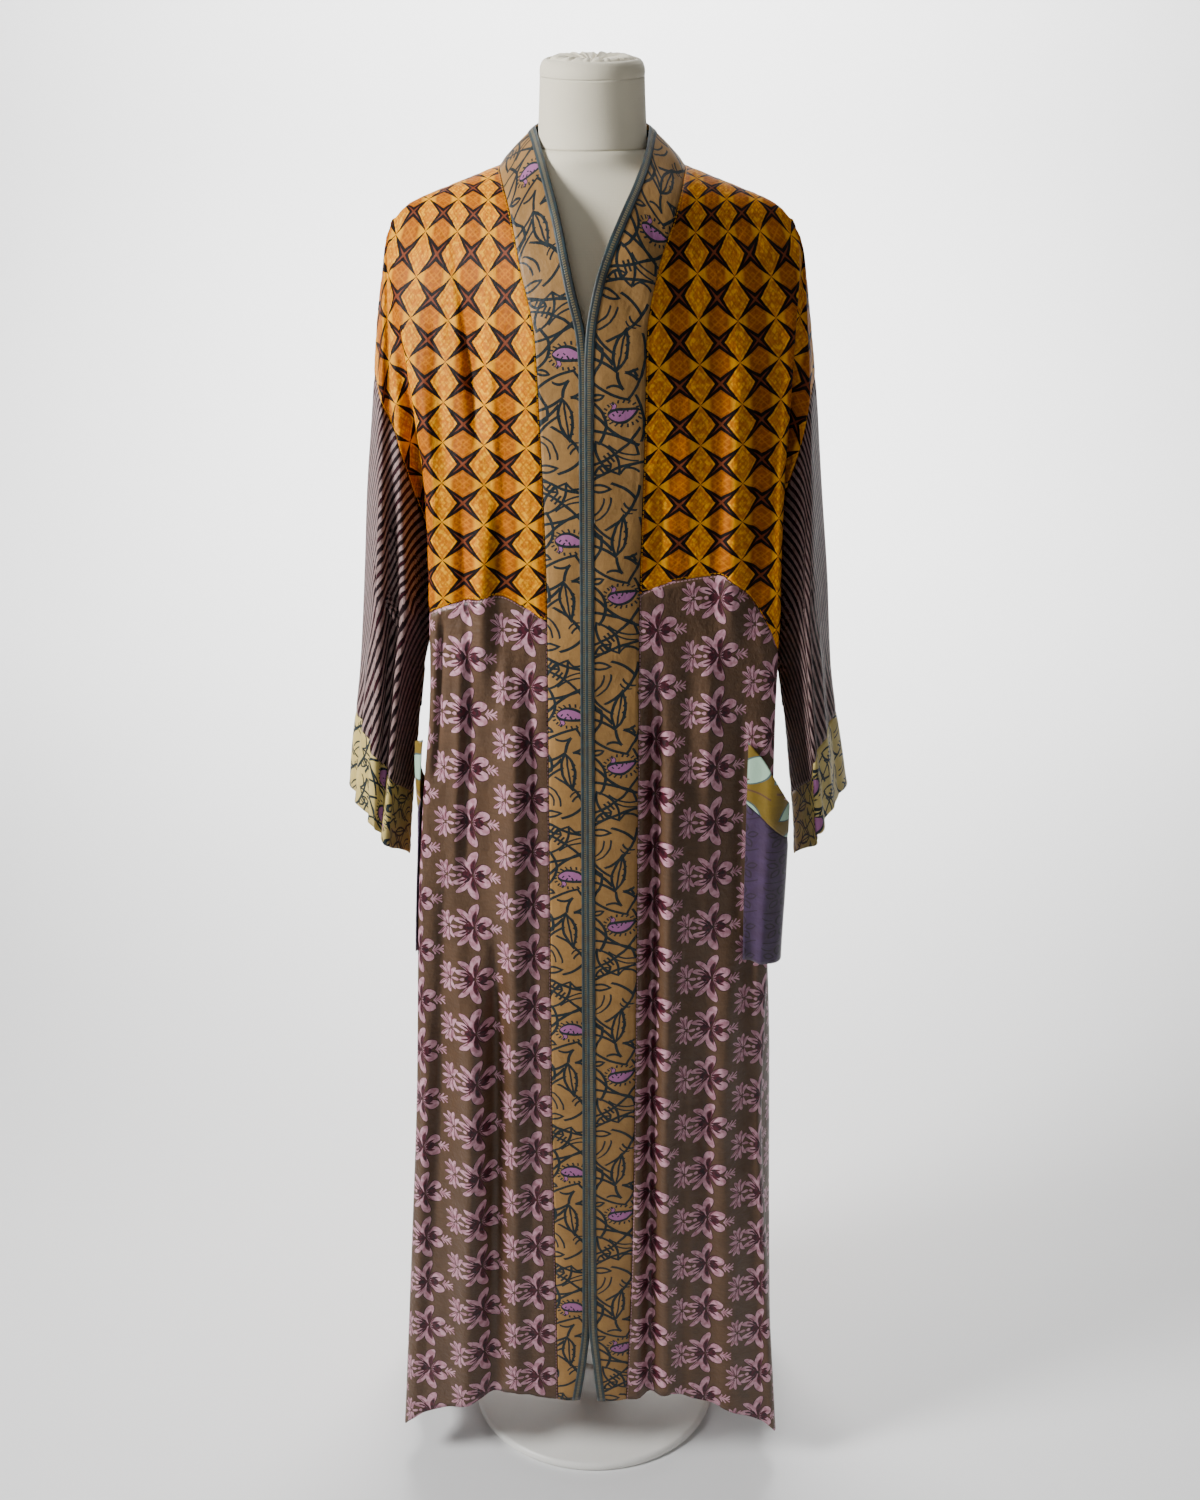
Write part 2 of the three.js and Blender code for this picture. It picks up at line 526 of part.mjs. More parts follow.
// ---- rows and columns that neighbours share, so that their seams match ----
// Shares of the way round the arm, from the top fold to the underarm, with a column on each pleat.
const ARM_SHARES = [1, 0.95, 0.88, 0.8, 0.7, 0.6, 0.47, 0.36, 0.22, 0.1, 0];
const YOKE_STEPS = [0.5, 1];
const SKIRT_STEPS = [0, 0.06, 0.16, 0.27, 0.38, 0.49, 0.6, 0.7, 0.8, 0.9, 1];
const FRONT_STEPS = 8;
const DROP_SHARES = [0.16, SIDE_PLEAT.inAt, 0.58, SIDE_PLEAT.outAt, 0.9, 1];
const DROP_COLUMNS = DROP_SHARES.map((k) => mix(TIP_S, BODY_HALF, k));
const NECK_STEPS = 5;
const SHOULDER_COLUMNS = [115, 145, 175, 205];
const SLEEVE_STEPS = [385, 415, 450, 490, 535, 580, 625, 668];
const CUFF_STEPS = [724, 744, 765];
const POCKET_COLUMNS = 9;
const POCKET_ROWS = [0, 0.25, 0.5, 0.75, 1];
const ARM_PASSES = 12;        // rounds of working a place out again until it holds still
const ROW_PASSES = 3;

/** Cloth below the shoulder line at a share of the way round the arm, at a distance s out. */
function armRow(s, share) {
  let angle = mix(UNDERARM_ANGLE, Math.PI / 2, share);
  for (let pass = 0; pass < ARM_PASSES; pass += 1) {
    const depth = (s - TIP_S) / Math.sin(angle);
    const under = depth > UNDERARM_DEPTH ? Math.acos(ARMHOLE / depth) : UNDERARM_ANGLE;
    angle = mix(under, Math.PI / 2, share);
  }
  return share === 0 ? ARMHOLE : (s - TIP_S) / Math.tan(angle);
}
const ARM_ROWS = ARM_SHARES.map((share) => armRow(BODY_HALF, share));
const half = SEAM / 2;
const bentHalf = BENT_SEAM / 2;
const pleatedHalf = PLEATED_SEAM / 2;
const yokeAt = (side, s) => downTo(1, s, read(YOKE[side], 'at', 'z', s));
const hemAt = (s) => HEM_SIDE + (HEM_EDGE - HEM_SIDE) * ease((TIP_S - s) / HEM_RUN);
const backHemAt = (s) => HEM_SIDE + BACK_HEM_DROP * ease((TIP_S - s) / TIP_S);
const turnOf = (side, face) => -sign(side) * face;

/** A row of a front panel, from the front edge to the side seam. */
function frontRow(side, tAt, share) {
  const inner = Array.from({ length: FRONT_STEPS + 1 }, (_, i) => i / FRONT_STEPS);
  const row = inner.map((k) => {
    let s = mix(NECK_HALF, TIP_S, k);
    let t = 0;
    for (let pass = 0; pass < ROW_PASSES; pass += 1) {
      t = tAt(s, share);
      s = mix(frontEdge(side, t) + bentHalf, TIP_S, k);
    }
    return [s, t];
  });
  for (const s of DROP_COLUMNS) {
    const place = Math.min(s, BODY_HALF - pleatedHalf);
    row.push([place, tAt(place, share)]);
  }
  return row;
}

function frontUpper(side) {
  const rows = ARM_ROWS.map((t) => frontRow(side, () => Math.max(t, pleatedHalf)));
  for (const share of YOKE_STEPS) {
    rows.push(frontRow(side, (s, k) => mix(ARMHOLE, yokeAt(side, s) - half, k), share));
  }
  return wall((s, t) => garment(side, 1, s, t, 'body'), turnOf(side, 1), rows);
}

function frontLower(side) {
  const rows = SKIRT_STEPS.map((share) => (
    frontRow(side, (s, k) => mix(yokeAt(side, s) + half, hemAt(s), k), share)));
  return wall((s, t) => garment(side, 1, s, t, 'body'), turnOf(side, 1), rows);
}

/** The back is one piece from side seam to side seam; s is below zero on its left half. */
function back() {
  const columns = [];
  const wide = NECK_HALF + BENT_SEAM;
  for (let k = 0; k <= NECK_STEPS; k += 1) {
    columns.push(wide * Math.sin(Math.PI / 2 * k / NECK_STEPS));
  }
  columns.push(...SHOULDER_COLUMNS, ...DROP_COLUMNS);
  const all = [...columns.slice(1).reverse().map((s) => -s), ...columns];
  const neck = (s) => BACK_NECK_DROP * Math.sqrt(Math.max(0, 1 - (s / wide) ** 2));
  const place = (s) => clamp(s, pleatedHalf - BODY_HALF, BODY_HALF - pleatedHalf);
  const upper = ARM_ROWS.map((t) => all.map((s) => {
    const top = neck(Math.abs(s)) + pleatedHalf;
    return [place(s), top + t * (ARMHOLE - top) / ARMHOLE];
  }));
  const lower = SKIRT_STEPS.slice(1).map((k) => all.map((s) => (
    [place(s), mix(ARMHOLE, backHemAt(Math.abs(s)), k)])));
  const side = (s) => (s < 0 ? 'left' : 'right');
  const point = (s, t) => garment(side(s), -1, Math.abs(s), t, 'body');
  return wall(point, 1, [...upper, ...lower]);
}

/** A stretch of sleeve, all the way round: the front half runs up to the fold, the back half down. */
function sleeveTube(side, steps) {
  const point = (s, t) => garment(side, 1, s, t, 'sleeve');
  const rows = steps.map((s) => {
    const down = ARM_SHARES.map((share) => armRow(s, share));
    return [...down.slice(1).reverse(), 0, ...down.slice(1, -1).map((t) => -t)].map((t) => [s, t]);
  });
  return wall(point, turnOf(side, 1), rows, { loop: true });
}

function sleeve(side) {
  return sleeveTube(side, [BODY_HALF + pleatedHalf, ...SLEEVE_STEPS, CUFF_S - pleatedHalf]);
}

function cuff(side) {
  return sleeveTube(side, [CUFF_S + pleatedHalf, ...CUFF_STEPS, SLEEVE_END]);
}

/** Rows of the neckband: cloth rows down the front, then steps round the back of the neck. */
function bandRows(side) {
  const rows = ARM_ROWS.map((t) => ({ front: true, t }));
  for (const k of YOKE_STEPS) rows.push({ front: true, t: mix(ARMHOLE, yokeAt(side, BAND_COLUMN), k) });
  for (const k of SKIRT_STEPS.slice(1)) {
    rows.push({ front: true, t: mix(yokeAt(side, BAND_COLUMN), hemAt(BAND_COLUMN), k) });
  }
  rows.reverse();
  for (let k = 1; k <= NECK_STEPS; k += 1) rows.push({ front: false, turn: k / NECK_STEPS });
  return rows;
}

/** A point of the neckband: q along its rows, w across it from the seam to the inner edge. */
function bandPoint(side, rows, q, w) {
  const at = clamp(q, 0, rows.length - 1);
  const i = Math.min(Math.floor(at), rows.length - 2);
  const cross = (row) => {
    if (row.front) {
      const s = frontEdge(side, row.t) - bentHalf;
      const seam = garment(side, 1, s, row.t, 'body');
      const inner = (column) => read(BAND[side], 'z', column, seam[2]);
      return [seam, [sign(side) * inner('x'), -inner('f'), seam[2] + inner('rise')]];
    }
    const angle = Math.PI / 2 * row.turn;
    const [c, d] = [Math.cos(angle), Math.sin(angle)];
    const [wide, drop] = [NECK_HALF - BENT_SEAM, BACK_NECK_DROP - BENT_SEAM];
    const seam = garment(side, -1, wide * c, drop * d, 'body');
    const { x, f, reach, z, rise } = BACK_NECK;
    return [seam, [sign(side) * x * c, -f + reach * d, z + rise * d]];
  };
  const [a, b] = [cross(rows[i]), cross(rows[i + 1])];
  const k = at - i;
  return mixPoint(mixPoint(a[0], b[0], k), mixPoint(a[1], b[1], k), w);
}

/** The band's rows end a little short of the centre back, where its two halves are sewn. */
function bandGrid(rows, acrossAt) {
  const end = rows.length - 1;
  return rows.map((_, i) => acrossAt(i).map((w) => [Math.min(i, end - BAND_END), w]));
}

function neckband(side) {
  const rows = bandRows(side);
  const grid = bandGrid(rows, () => [0, 0.5, 1]);
  const point = (q, w) => bandPoint(side, rows, q, w);
  return wall(point, sign(side), grid, { du: BAND_STEP, dv: BAND_STEP, seat: (q, w) => [q, w] });
}

function edging(side) {
  const rows = bandRows(side);
  const width = (i) => {
    const [a, b] = [bandPoint(side, rows, i, 0), bandPoint(side, rows, i, 1)];
    return TAPE_WIDTH / Math.hypot(...a.map((value, n) => value - b[n]));
  };
  const grid = bandGrid(rows, (i) => [1 - width(i), 1]);
  const lift = () => CLOTH / 2 + TAPE_LAY + TAPE / 2;
  const point = (q, w) => bandPoint(side, rows, q, w);
  return wall(point, sign(side), grid, {
    thick: TAPE, lift, du: BAND_STEP, dv: BAND_STEP, seat: (q, w) => [q, w],
  });
}

/** A pocket piece between two columns of its table, top to foot. */
function pocketPiece(side, from, to, trimTop, trimFoot) {
  const rows = POCKET[side];
  const [first, last] = [rows[0].at, rows[rows.length - 1].at];
  const across = Array.from({ length: POCKET_COLUMNS + 1 }, (_, i) => mix(first, last, i / POCKET_COLUMNS));
  const at = (s, column) => read(rows, 'at', column, s);
  const grid = POCKET_ROWS.map((k) => across.map((s) => {
    const z = mix(at(s, from) - trimTop, at(s, to) + trimFoot, k);
    return [s, downTo(1, s, z)];
  }));
  const lift = (s, t) => {
    const z = garment(side, 1, s, t, 'body')[2];
    const settle = ease((z - at(s, 'foot')) / (at(s, 'top') - at(s, 'foot')));
    return CLOTH + LAY + at(s, 'off') * mix(POCKET_SETTLE, 1, settle);
  };
  return wall((s, t) => garment(side, 1, s, t, 'body'), turnOf(side, 1), grid, { lift });
}

/** How far forward the cloth hangs over a place inside the shoulder tips. */
function clothOver(side, face, x, z) {
  const depth = TIP_Z - z;
  const from = face > 0 ? plan(side, 'edgeX', depth) : 0;
  const k = clamp((x - from) / (plan(side, 'bodyX', depth) - from), 0, 1);
  const s = mix(from, TIP_S, k);
  if (z > NECK_Z - NECK_ROOM) return Infinity;
  const start = face > 0 ? plan(side, 'edgeF', depth) : read(BACK_PLAN, 'depth', 'centre', depth);
  const end = face > 0 ? plan(side, 'bodyF', depth) : read(BACK_PLAN, 'depth', 'corner', depth);
  const turn = 1 - Math.max(0, shoulderZ(s) - z) / Math.max(rollOf(face) * inward(s), 1);
  return mix(start, end, k) * Math.sin(Math.acos(clamp(turn, 0, 1)));
}

/** The torso keeps its own rounds, and draws in where the cloth rolls down from the shoulder. */
function torso() {
  return loft(TORSO.map((row) => ring(RING_SIDES, row.x, row.front, row.back).map(([x, y]) => {
    const face = y < 0 ? 1 : -1;
    const over = Math.min(...['left', 'right'].map((side) => clothOver(side, face, Math.abs(x), row.z)));
    const room = Math.max(over - FORM_CLEAR, over * FORM_SHARE);
    return [x, -face * Math.min(Math.abs(y), room), row.z];
  })));
}

/** An oval of the neck, tipped forward. */
function neckRing(row, wide, up) {
  const tilt = THREE.MathUtils.degToRad(row.tilt);
  return Array.from({ length: RING_SIDES }, (_, i) => {
    const turn = 2 * Math.PI * i / RING_SIDES;
    const y = row.deep * wide * Math.sin(turn);
    return [
      row.x * wide * Math.cos(turn),
      row.y + y * Math.cos(tilt) - up * Math.sin(tilt),
      row.z + y * Math.sin(tilt) + up * Math.cos(tilt),
    ];
  });
}

const neck = () => loft(NECK.map((row) => neckRing(row, 1, 0)));

function neckCap() {
  const top = NECK[NECK.length - 1];
  return loft(CAP.map((row) => neckRing(top, row.wide, row.up)));
}

/** A turned piece from a profile of radius and height. */
function turned(profile) {
  const points = profile.map(([r, z]) => new THREE.Vector2(r, z));
  return new THREE.LatheGeometry(points, TURNED_SIDES).rotateX(Math.PI / 2);
}

// ---- the robe ----
for (const side of ['left', 'right']) {
  add(`front_${side}_upper`, 'amber', frontUpper(side));
  add(`front_${side}_lower`, 'floral', frontLower(side));
  add(`sleeve_${side}`, 'stripe', sleeve(side));
  add(`cuff_${side}`, 'band', cuff(side));
  add(`neckband_${side}`, 'band', neckband(side));
  add(`edging_${side}`, 'tape', edging(side));
  add(`pocket_facing_${side}`, 'facing', pocketPiece(side, 'top', 'seam', 0, bentHalf));
  add(`pocket_bag_${side}`, 'bag', pocketPiece(side, 'seam', 'foot', bentHalf, 0));
}
add('back', 'amber', back());

// ---- the dress form and its stand ----
const torsoFoot = TORSO[TORSO.length - 1].z;
const socketFoot = torsoFoot - TOUCH - SOCKET_DEEP;
add('form_torso', 'jersey', torso());
add('form_neck', 'jersey', neck());
add('neck_cap', 'jersey', neckCap());
add('pole_socket', 'steel', turned([
  [0, socketFoot], [SOCKET_R - 8, socketFoot], [SOCKET_R, socketFoot + 8],
  [SOCKET_R, torsoFoot - TOUCH], [0, torsoFoot - TOUCH],
]));
add('pole', 'steel', turned([
  [0, HUB_TOP + TOUCH], [POLE_R, HUB_TOP + TOUCH], [POLE_R, socketFoot - TOUCH],
  [0, socketFoot - TOUCH],
]));
add('base', 'steel', turned([
  [0, 0], [BASE_R - 2, 0], [BASE_R, 2], [BASE_R, BASE_THICK - 4], [BASE_R - 5, BASE_THICK],
  [HUB_R + 10, BASE_THICK + 2], [HUB_R, BASE_THICK + 8], [HUB_R - 4, HUB_TOP], [0, HUB_TOP],
]));

export default model;
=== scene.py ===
"""Patchwork silk kimono robe on a limbless dress form, laid out as an add-on.

Every piece of the robe is cut flat and then hung. A point of the flat cloth has two sizes: s, across
from the centre line, and t, down from the shoulder line. Cloth inside the shoulder tip hangs in
columns. Cloth beyond it hangs from the tip like a napkin held at one point. The prints are drawn in
the flat, so that they turn and foreshorten with the cloth. Flat sizes are in millimetres.
"""
import math

import bpy
import numpy as np
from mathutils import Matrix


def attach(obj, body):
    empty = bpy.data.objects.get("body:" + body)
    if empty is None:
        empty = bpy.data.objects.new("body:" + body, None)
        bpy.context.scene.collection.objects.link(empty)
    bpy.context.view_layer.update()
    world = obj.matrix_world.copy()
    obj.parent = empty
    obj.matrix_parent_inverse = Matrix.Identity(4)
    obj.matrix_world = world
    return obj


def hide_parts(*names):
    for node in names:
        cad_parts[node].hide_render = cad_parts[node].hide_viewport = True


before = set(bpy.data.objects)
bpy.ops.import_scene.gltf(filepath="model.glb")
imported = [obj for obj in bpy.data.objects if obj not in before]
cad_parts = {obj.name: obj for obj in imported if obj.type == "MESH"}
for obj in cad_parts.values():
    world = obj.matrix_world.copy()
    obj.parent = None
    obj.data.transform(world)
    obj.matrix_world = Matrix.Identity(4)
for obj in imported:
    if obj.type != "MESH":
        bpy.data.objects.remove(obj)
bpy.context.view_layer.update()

bl_info = {
    "name": "Patchwork Kimono Robe",
    "version": (1, 0, 0),
    "blender": (4, 5, 0),
    "location": "3D View > Sidebar > Robe",
    "description": "Hangs a patchwork silk robe on a dress form, with its prints, stand and studio",
    "category": "Add Mesh",
}

MM = 0.001


def table(columns, rows):
    """A table with named columns, each a row of numbers or words."""
    return {name: np.array([row[i] for row in rows]) for i, name in enumerate(columns)}


def rows_of(rows, **wanted):
    """The rows of a table whose columns hold the wanted values, each as a dictionary."""
    for i in range(len(rows["side"])):
        if all(rows[name][i] == value for name, value in wanted.items()):
            yield {name: column[i] for name, column in rows.items()}


# ---- the cut, flat ----
NECK_HALF = 86          # centre to the neck point, along the shoulder
TIP_S = 205             # centre to the shoulder tip
BODY_HALF = 360         # centre to the side seam
ARMHOLE = 320           # shoulder line to underarm
CUFF_S = 705            # centre to the cuff seam
SLEEVE_END = 785        # centre to the cuff's edge
BACK_NECK_DROP = 55
HEM_SIDE = 1322         # shoulder line to hem, at the shoulder tip
HEM_EDGE = 1375         # and at the front edge
HEM_RUN = 170
SIDE_HEM_SHARE = 0.7    # share of the side's extra drop that the cut takes away
BACK_HEM_DROP = 30
TAPE_WIDTH = 8.5
BAND_WALL = 1.6         # the band is folded double
POCKET_LAY = 2.5        # least distance of a pocket from its panel, middle to middle

# ---- where it hangs ----
NECK_Z = 1407
TIP_Z = 1366
FRONT_ROLL = 170
FRONT_REACH = 120
BACK_ROLL = 60
BACK_REACH = 100
NAPE_FADE = 200
UNDERARM_ANGLE = math.atan2(BODY_HALF - TIP_S, ARMHOLE)
UNDERARM_DEPTH = math.hypot(BODY_HALF - TIP_S, ARMHOLE)

# Plan of the hanging cloth at a depth below the shoulder tip. X is out from the centre, F forward:
# edge = the front edge, body = the corner from front to side, seam = the side seam, under = the
# sleeve's underarm seam, arm = the sleeve's front corner, out = its outer fold, pleat = its pleat.
PLAN_COLUMNS = (
    "depth", "edgeX", "edgeF", "bodyX", "bodyF", "seamX", "seamF", "underX", "armX", "armF", "outX",
    "pleat",
)
PLAN = {
    -1: table(PLAN_COLUMNS, (
        (-41, 86, 119, 193, 0, 193, 0, 193, 193, 0, 193, 0),
        (0, 73, 119, 193, 0, 193, 0, 193, 193, 0, 193, 0),
        (40, 65, 119, 187, 27, 191, 21, 191, 196, 14, 198, 1),
        (100, 52, 120, 178, 56, 182, 44, 182, 198, 36, 208, 8),
        (180, 48, 121, 166, 84, 170, 46, 170, 201, 60, 216, 16),
        (260, 45, 122, 158, 100, 160, 31, 161, 203, 77, 225, 20),
        (356, 43, 124, 159, 107, 148, 0, 153, 206, 88, 232, 22),
        (450, 43, 125, 165, 107, 149, 0, 171, 210, 94, 241, 24),
        (560, 43, 126, 176, 106, 163, 0, 184, 219, 96, 257, 22),
        (665, 43, 127, 184, 106, 171, 0, 194, 226, 88, 264, 16),
        (900, 43, 129, 194, 110, 184, 0, 203, 226, 88, 264, 16),
        (1100, 41, 130, 207, 113, 194, 0, 203, 226, 88, 264, 16),
        (1330, 39, 130, 223, 115, 206, 0, 203, 226, 88, 264, 16),
    )),
    1: table(PLAN_COLUMNS, (
        (-41, 86, 119, 193, 0, 193, 0, 193, 193, 0, 193, 0),
        (0, 74, 119, 193, 0, 193, 0, 193, 193, 0, 193, 0),
        (40, 60, 119, 194, 27, 195, 21, 195, 199, 14, 201, 1),
        (100, 49, 120, 191, 52, 188, 42, 188, 202, 36, 210, 3),
        (180, 48, 121, 187, 76, 181, 42, 181, 206, 60, 220, 3),
        (260, 46, 122, 184, 88, 172, 28, 174, 208, 76, 228, 6),
        (356, 44, 124, 185, 93, 160, 0, 167, 211, 86, 238, 7),
        (450, 44, 125, 187, 96, 162, 0, 188, 216, 92, 246, 7),
        (560, 44, 126, 187, 97, 171, 0, 203, 226, 92, 266, 7),
        (665, 44, 127, 187, 99, 178, 0, 212, 236, 84, 282, 6),
        (900, 43, 129, 184, 106, 194, 0, 212, 236, 84, 282, 6),
        (1100, 41, 130, 196, 117, 199, 0, 212, 236, 84, 282, 6),
        (1330, 34, 130, 213, 128, 206, 0, 212, 236, 84, 282, 6),
    )),
}
ARM_ROUND = {"ridge": 0.36, "valley": 0.47, "corner": 0.6}
ARM_PLEAT = {-1: {"ridge": 0.55, "valley": 0.76}, 1: {"ridge": 0.74, "valley": 0.86}}
RIDGE_BACK = 3
BACK_PLAN = table(("depth", "centre", "corner"), (
    (-41, 100, 0), (0, 100, 0), (100, 100, 55), (260, 99, 84), (450, 104, 94), (665, 114, 102),
    (1330, 122, 112),
))
SIDE_PLEAT = {"inAt": 0.38, "in": 20, "outAt": 0.78, "out": 3, "grows": 120}
UNDERARM_JOIN = 60
FRONT, BACK = 1, -1

# The largest folds, with the panel's side and face. at and width are in cloth from the centre.
FOLD_FADE = {"top": 120, "foot": 90}
FOLDS = table(("side", "face", "at", "width", "out", "top", "foot"), (
    (-1, FRONT, 124, 20, -6, 1345, 1150), (-1, FRONT, 130, 22, 7, 1150, 900),
    (-1, FRONT, 134, 24, 13, 640, -100), (-1, FRONT, 84, 18, 8, 960, -100),
    (-1, FRONT, 107, 14, -7, 700, -100),
    (1, FRONT, 172, 16, -9, 1310, 980), (1, FRONT, 146, 20, 6, 1300, 940),
    (1, FRONT, 62, 14, -12, 980, -100), (1, FRONT, 82, 18, 8, 900, -100),
    (1, FRONT, 150, 26, 7, 700, -100),
    (-1, BACK, 56, 26, -11, 1200, -100), (-1, BACK, 112, 28, 10, 1050, -100),
    (1, BACK, 30, 26, 9, 980, -100), (1, BACK, 84, 24, -12, 1150, -100),
    (1, BACK, 138, 26, 9, 900, -100),
))

# Creases and soft ridges, listed one by one. lean is how far a crease wanders outwards per millimetre
# down, and the rest is as above, with its own fade at each end.
HEM_CALM = 0.35         # share of the creases left at the hem, which hangs by its own weight
HEM_CALM_TO = 420       # height from which they are whole
FOLD_CALM = 0.8         # the same share for the large folds
FOLD_DEPTH = 1.35       # and how deep those are above that height
CREASE_POWER = 1.5
CREASES = table(("side", "face", "at", "lean", "width", "out", "top", "foot", "fade"), (
    # left yoke: sharp tucks that fall from the shoulder, and softer ones under them
    (-1, FRONT, 134, -0.03, 5, -4.5, 1352, 1150, 50),
    (-1, FRONT, 146, 0.02, 8, -3.0, 1340, 1215, 60),
    (-1, FRONT, 112, -0.05, 7, 3.0, 1300, 1090, 70),
    (-1, FRONT, 164, 0.05, 9, -3.4, 1320, 1110, 70),
    (-1, FRONT, 187, 0.06, 8, 3.6, 1250, 1030, 80),
    (-1, FRONT, 98, 0.02, 10, -2.6, 1215, 1015, 80),
    (-1, FRONT, 156, -0.02, 7, -4.0, 1140, 985, 60),
    (-1, FRONT, 118, 0.0, 6, 2.4, 1130, 1010, 50),
    # left skirt
    (-1, FRONT, 184, 0.0, 5, -6.0, 1015, 815, 40),
    (-1, FRONT, 158, -0.01, 7, 5.0, 1020, 700, 70),
    (-1, FRONT, 145, 0.0, 7, -5.0, 985, 690, 90),
    (-1, FRONT, 100, 0.0, 10, 5.5, 1000, 640, 80),
    (-1, FRONT, 68, 0.0, 9, -4.5, 990, 300, 90),
    (-1, FRONT, 148, 0.012, 7, 4.0, 700, -100, 90),
    (-1, FRONT, 166, 0.02, 8, -5.5, 760, -100, 90),
    (-1, FRONT, 186, 0.01, 9, 4.0, 600, -100, 90),
    (-1, FRONT, 122, 0.0, 6, -3.5, 520, -100, 70),
    (-1, FRONT, 62, 0.0, 8, 3.0, 420, -100, 80),
    (-1, FRONT, 232, 0.0, 14, 4.0, 620, -100, 90),
    # right yoke
    (1, FRONT, 118, 0.01, 12, -3.0, 1340, 1180, 70),
    (1, FRONT, 96, 0.0, 10, 2.6, 1250, 1060, 70),
    (1, FRONT, 160, 0.02, 6, 4.0, 1290, 1010, 80),
    (1, FRONT, 186, 0.03, 7, -5.0, 1310, 1030, 80),
    (1, FRONT, 198, 0.03, 6, 3.4, 1210, 960, 60),
    (1, FRONT, 66, 0.0, 7, -4.5, 1150, 1030, 50),
    (1, FRONT, 134, 0.0, 7, -3.2, 1170, 1030, 60),
    (1, FRONT, 178, 0.0, 5, 3.2, 1130, 940, 60),
    # right skirt
    (1, FRONT, 100, 0.0, 9, -3.0, 1020, 760, 80),
    (1, FRONT, 122, 0.0, 8, 3.6, 1000, 600, 90),
    (1, FRONT, 160, 0.0, 7, -4.6, 930, 640, 70),
    (1, FRONT, 188, -0.01, 6, 4.0, 900, 520, 60),
    (1, FRONT, 108, 0.0, 8, 4.0, 640, -100, 90),
    (1, FRONT, 128, 0.01, 8, -5.0, 560, -100, 90),
    (1, FRONT, 176, 0.015, 8, -5.0, 700, -100, 90),
    (1, FRONT, 196, 0.01, 8, 4.5, 500, -100, 90),
    (1, FRONT, 228, 0.0, 12, -4.0, 620, -100, 90),
    (1, FRONT, 50, 0.0, 7, 3.0, 420, -100, 80),
    # back: tucks from the shoulders, long folds to the hem
    (-1, BACK, 30, 0.0, 9, 3.6, 1290, 950, 90),
    (-1, BACK, 84, 0.02, 8, 4.0, 1330, 1080, 70),
    (-1, BACK, 132, 0.03, 7, -4.6, 1345, 1120, 60),
    (-1, BACK, 160, 0.03, 9, 4.0, 1330, 1010, 80),
    (-1, BACK, 190, 0.04, 9, -4.4, 1300, 1020, 80),
    (-1, BACK, 74, 0.0, 10, 5.0, 960, 320, 90),
    (-1, BACK, 140, 0.01, 9, -6.0, 900, -100, 90),
    (-1, BACK, 28, 0.0, 9, -5.0, 760, -100, 90),
    (-1, BACK, 92, 0.0, 9, 4.4, 520, -100, 90),
    (-1, BACK, 178, 0.02, 10, 5.5, 640, -100, 90),
    (-1, BACK, 226, 0.0, 12, -4.5, 600, -100, 90),
    (1, BACK, 62, -0.01, 8, -3.6, 1300, 1020, 80),
    (1, BACK, 112, 0.03, 7, 4.4, 1335, 1090, 60),
    (1, BACK, 150, 0.03, 8, -4.0, 1335, 1060, 70),
    (1, BACK, 182, 0.04, 8, 4.6, 1290, 980, 90),
    (1, BACK, 12, 0.0, 9, -4.0, 1120, 480, 90),
    (1, BACK, 54, 0.0, 9, 4.6, 820, -100, 90),
    (1, BACK, 110, 0.0, 8, 4.4, 700, -100, 90),
    (1, BACK, 166, 0.015, 9, -6.0, 820, -100, 90),
    (1, BACK, 196, 0.01, 9, 4.6, 560, -100, 90),
    (1, BACK, 236, 0.0, 12, -4.0, 560, -100, 90),
))

YOKE = {
    -1: table(("at", "z"), ((40, 997), (75, 1014), (108, 1024), (140, 1020), (205, 1004), (360, 969))),
    1: table(("at", "z"), (
        (40, 1026), (85, 1038), (130, 1041), (160, 1024), (190, 984), (205, 964), (360, 930),
    )),
}

# The neckband's inner edge where its seam stands at a height.
BAND = {
    -1: table(("z", "x", "f", "rise"), (
        (1407, 52.5, 2, 33), (1387, 45, 36, 32), (1365, 37, 64, 30), (1343, 29.5, 88, 27),
        (1314, 22, 106, 22), (1290, 15.5, 115, 17), (1262, 6.5, 121, 7), (1236, 4, 122.5, 1),
        (500, 3, 129, 0), (200, 4, 130, 0), (150, 8, 130, 0), (60, 21, 130, 0),
    )),
    1: table(("z", "x", "f", "rise"), (
        (1407, 52.5, 2, 33), (1387, 48, 36, 32), (1365, 38, 64, 30), (1343, 25, 90, 27),
        (1314, 10, 111, 22), (1290, 1, 120, 17), (1262, -5.5, 126, 7), (1236, -7, 127.5, 1),
        (500, -6, 134, 0), (200, -5, 135, 0), (150, -1, 133, 0), (60, 8, 131, 0),
    )),
}
BAND_COLUMN = 40
BACK_NECK = {"x": 52.5, "f": 2, "reach": 51, "z": 1440, "rise": 7}

POCKET_COLUMNS = ("at", "top", "seam", "foot", "off")
POCKET = {
    1: table(POCKET_COLUMNS, (
        (166, 870, 805, 634, 1), (184, 850, 790, 630, 6), (205, 806, 768, 629, 15),
        (226, 776, 757, 632, 17), (262, 768, 748, 640, 12), (300, 764, 742, 648, 4),
    )),
    -1: table(POCKET_COLUMNS, (
        (206, 872, 806, 640, 3), (222, 862, 790, 636, 12), (240, 826, 778, 634, 11),
        (262, 802, 768, 636, 6), (300, 790, 758, 642, 4), (334, 784, 752, 650, 3),
    )),
}
POCKET_SETTLE = {-1: 0.0, 1: 0.7}       # share of its stand-off that a pocket keeps at its foot
POCKET_SETTLE_POWER = {-1: 4, 1: 1}     # and how soon it settles below its opening

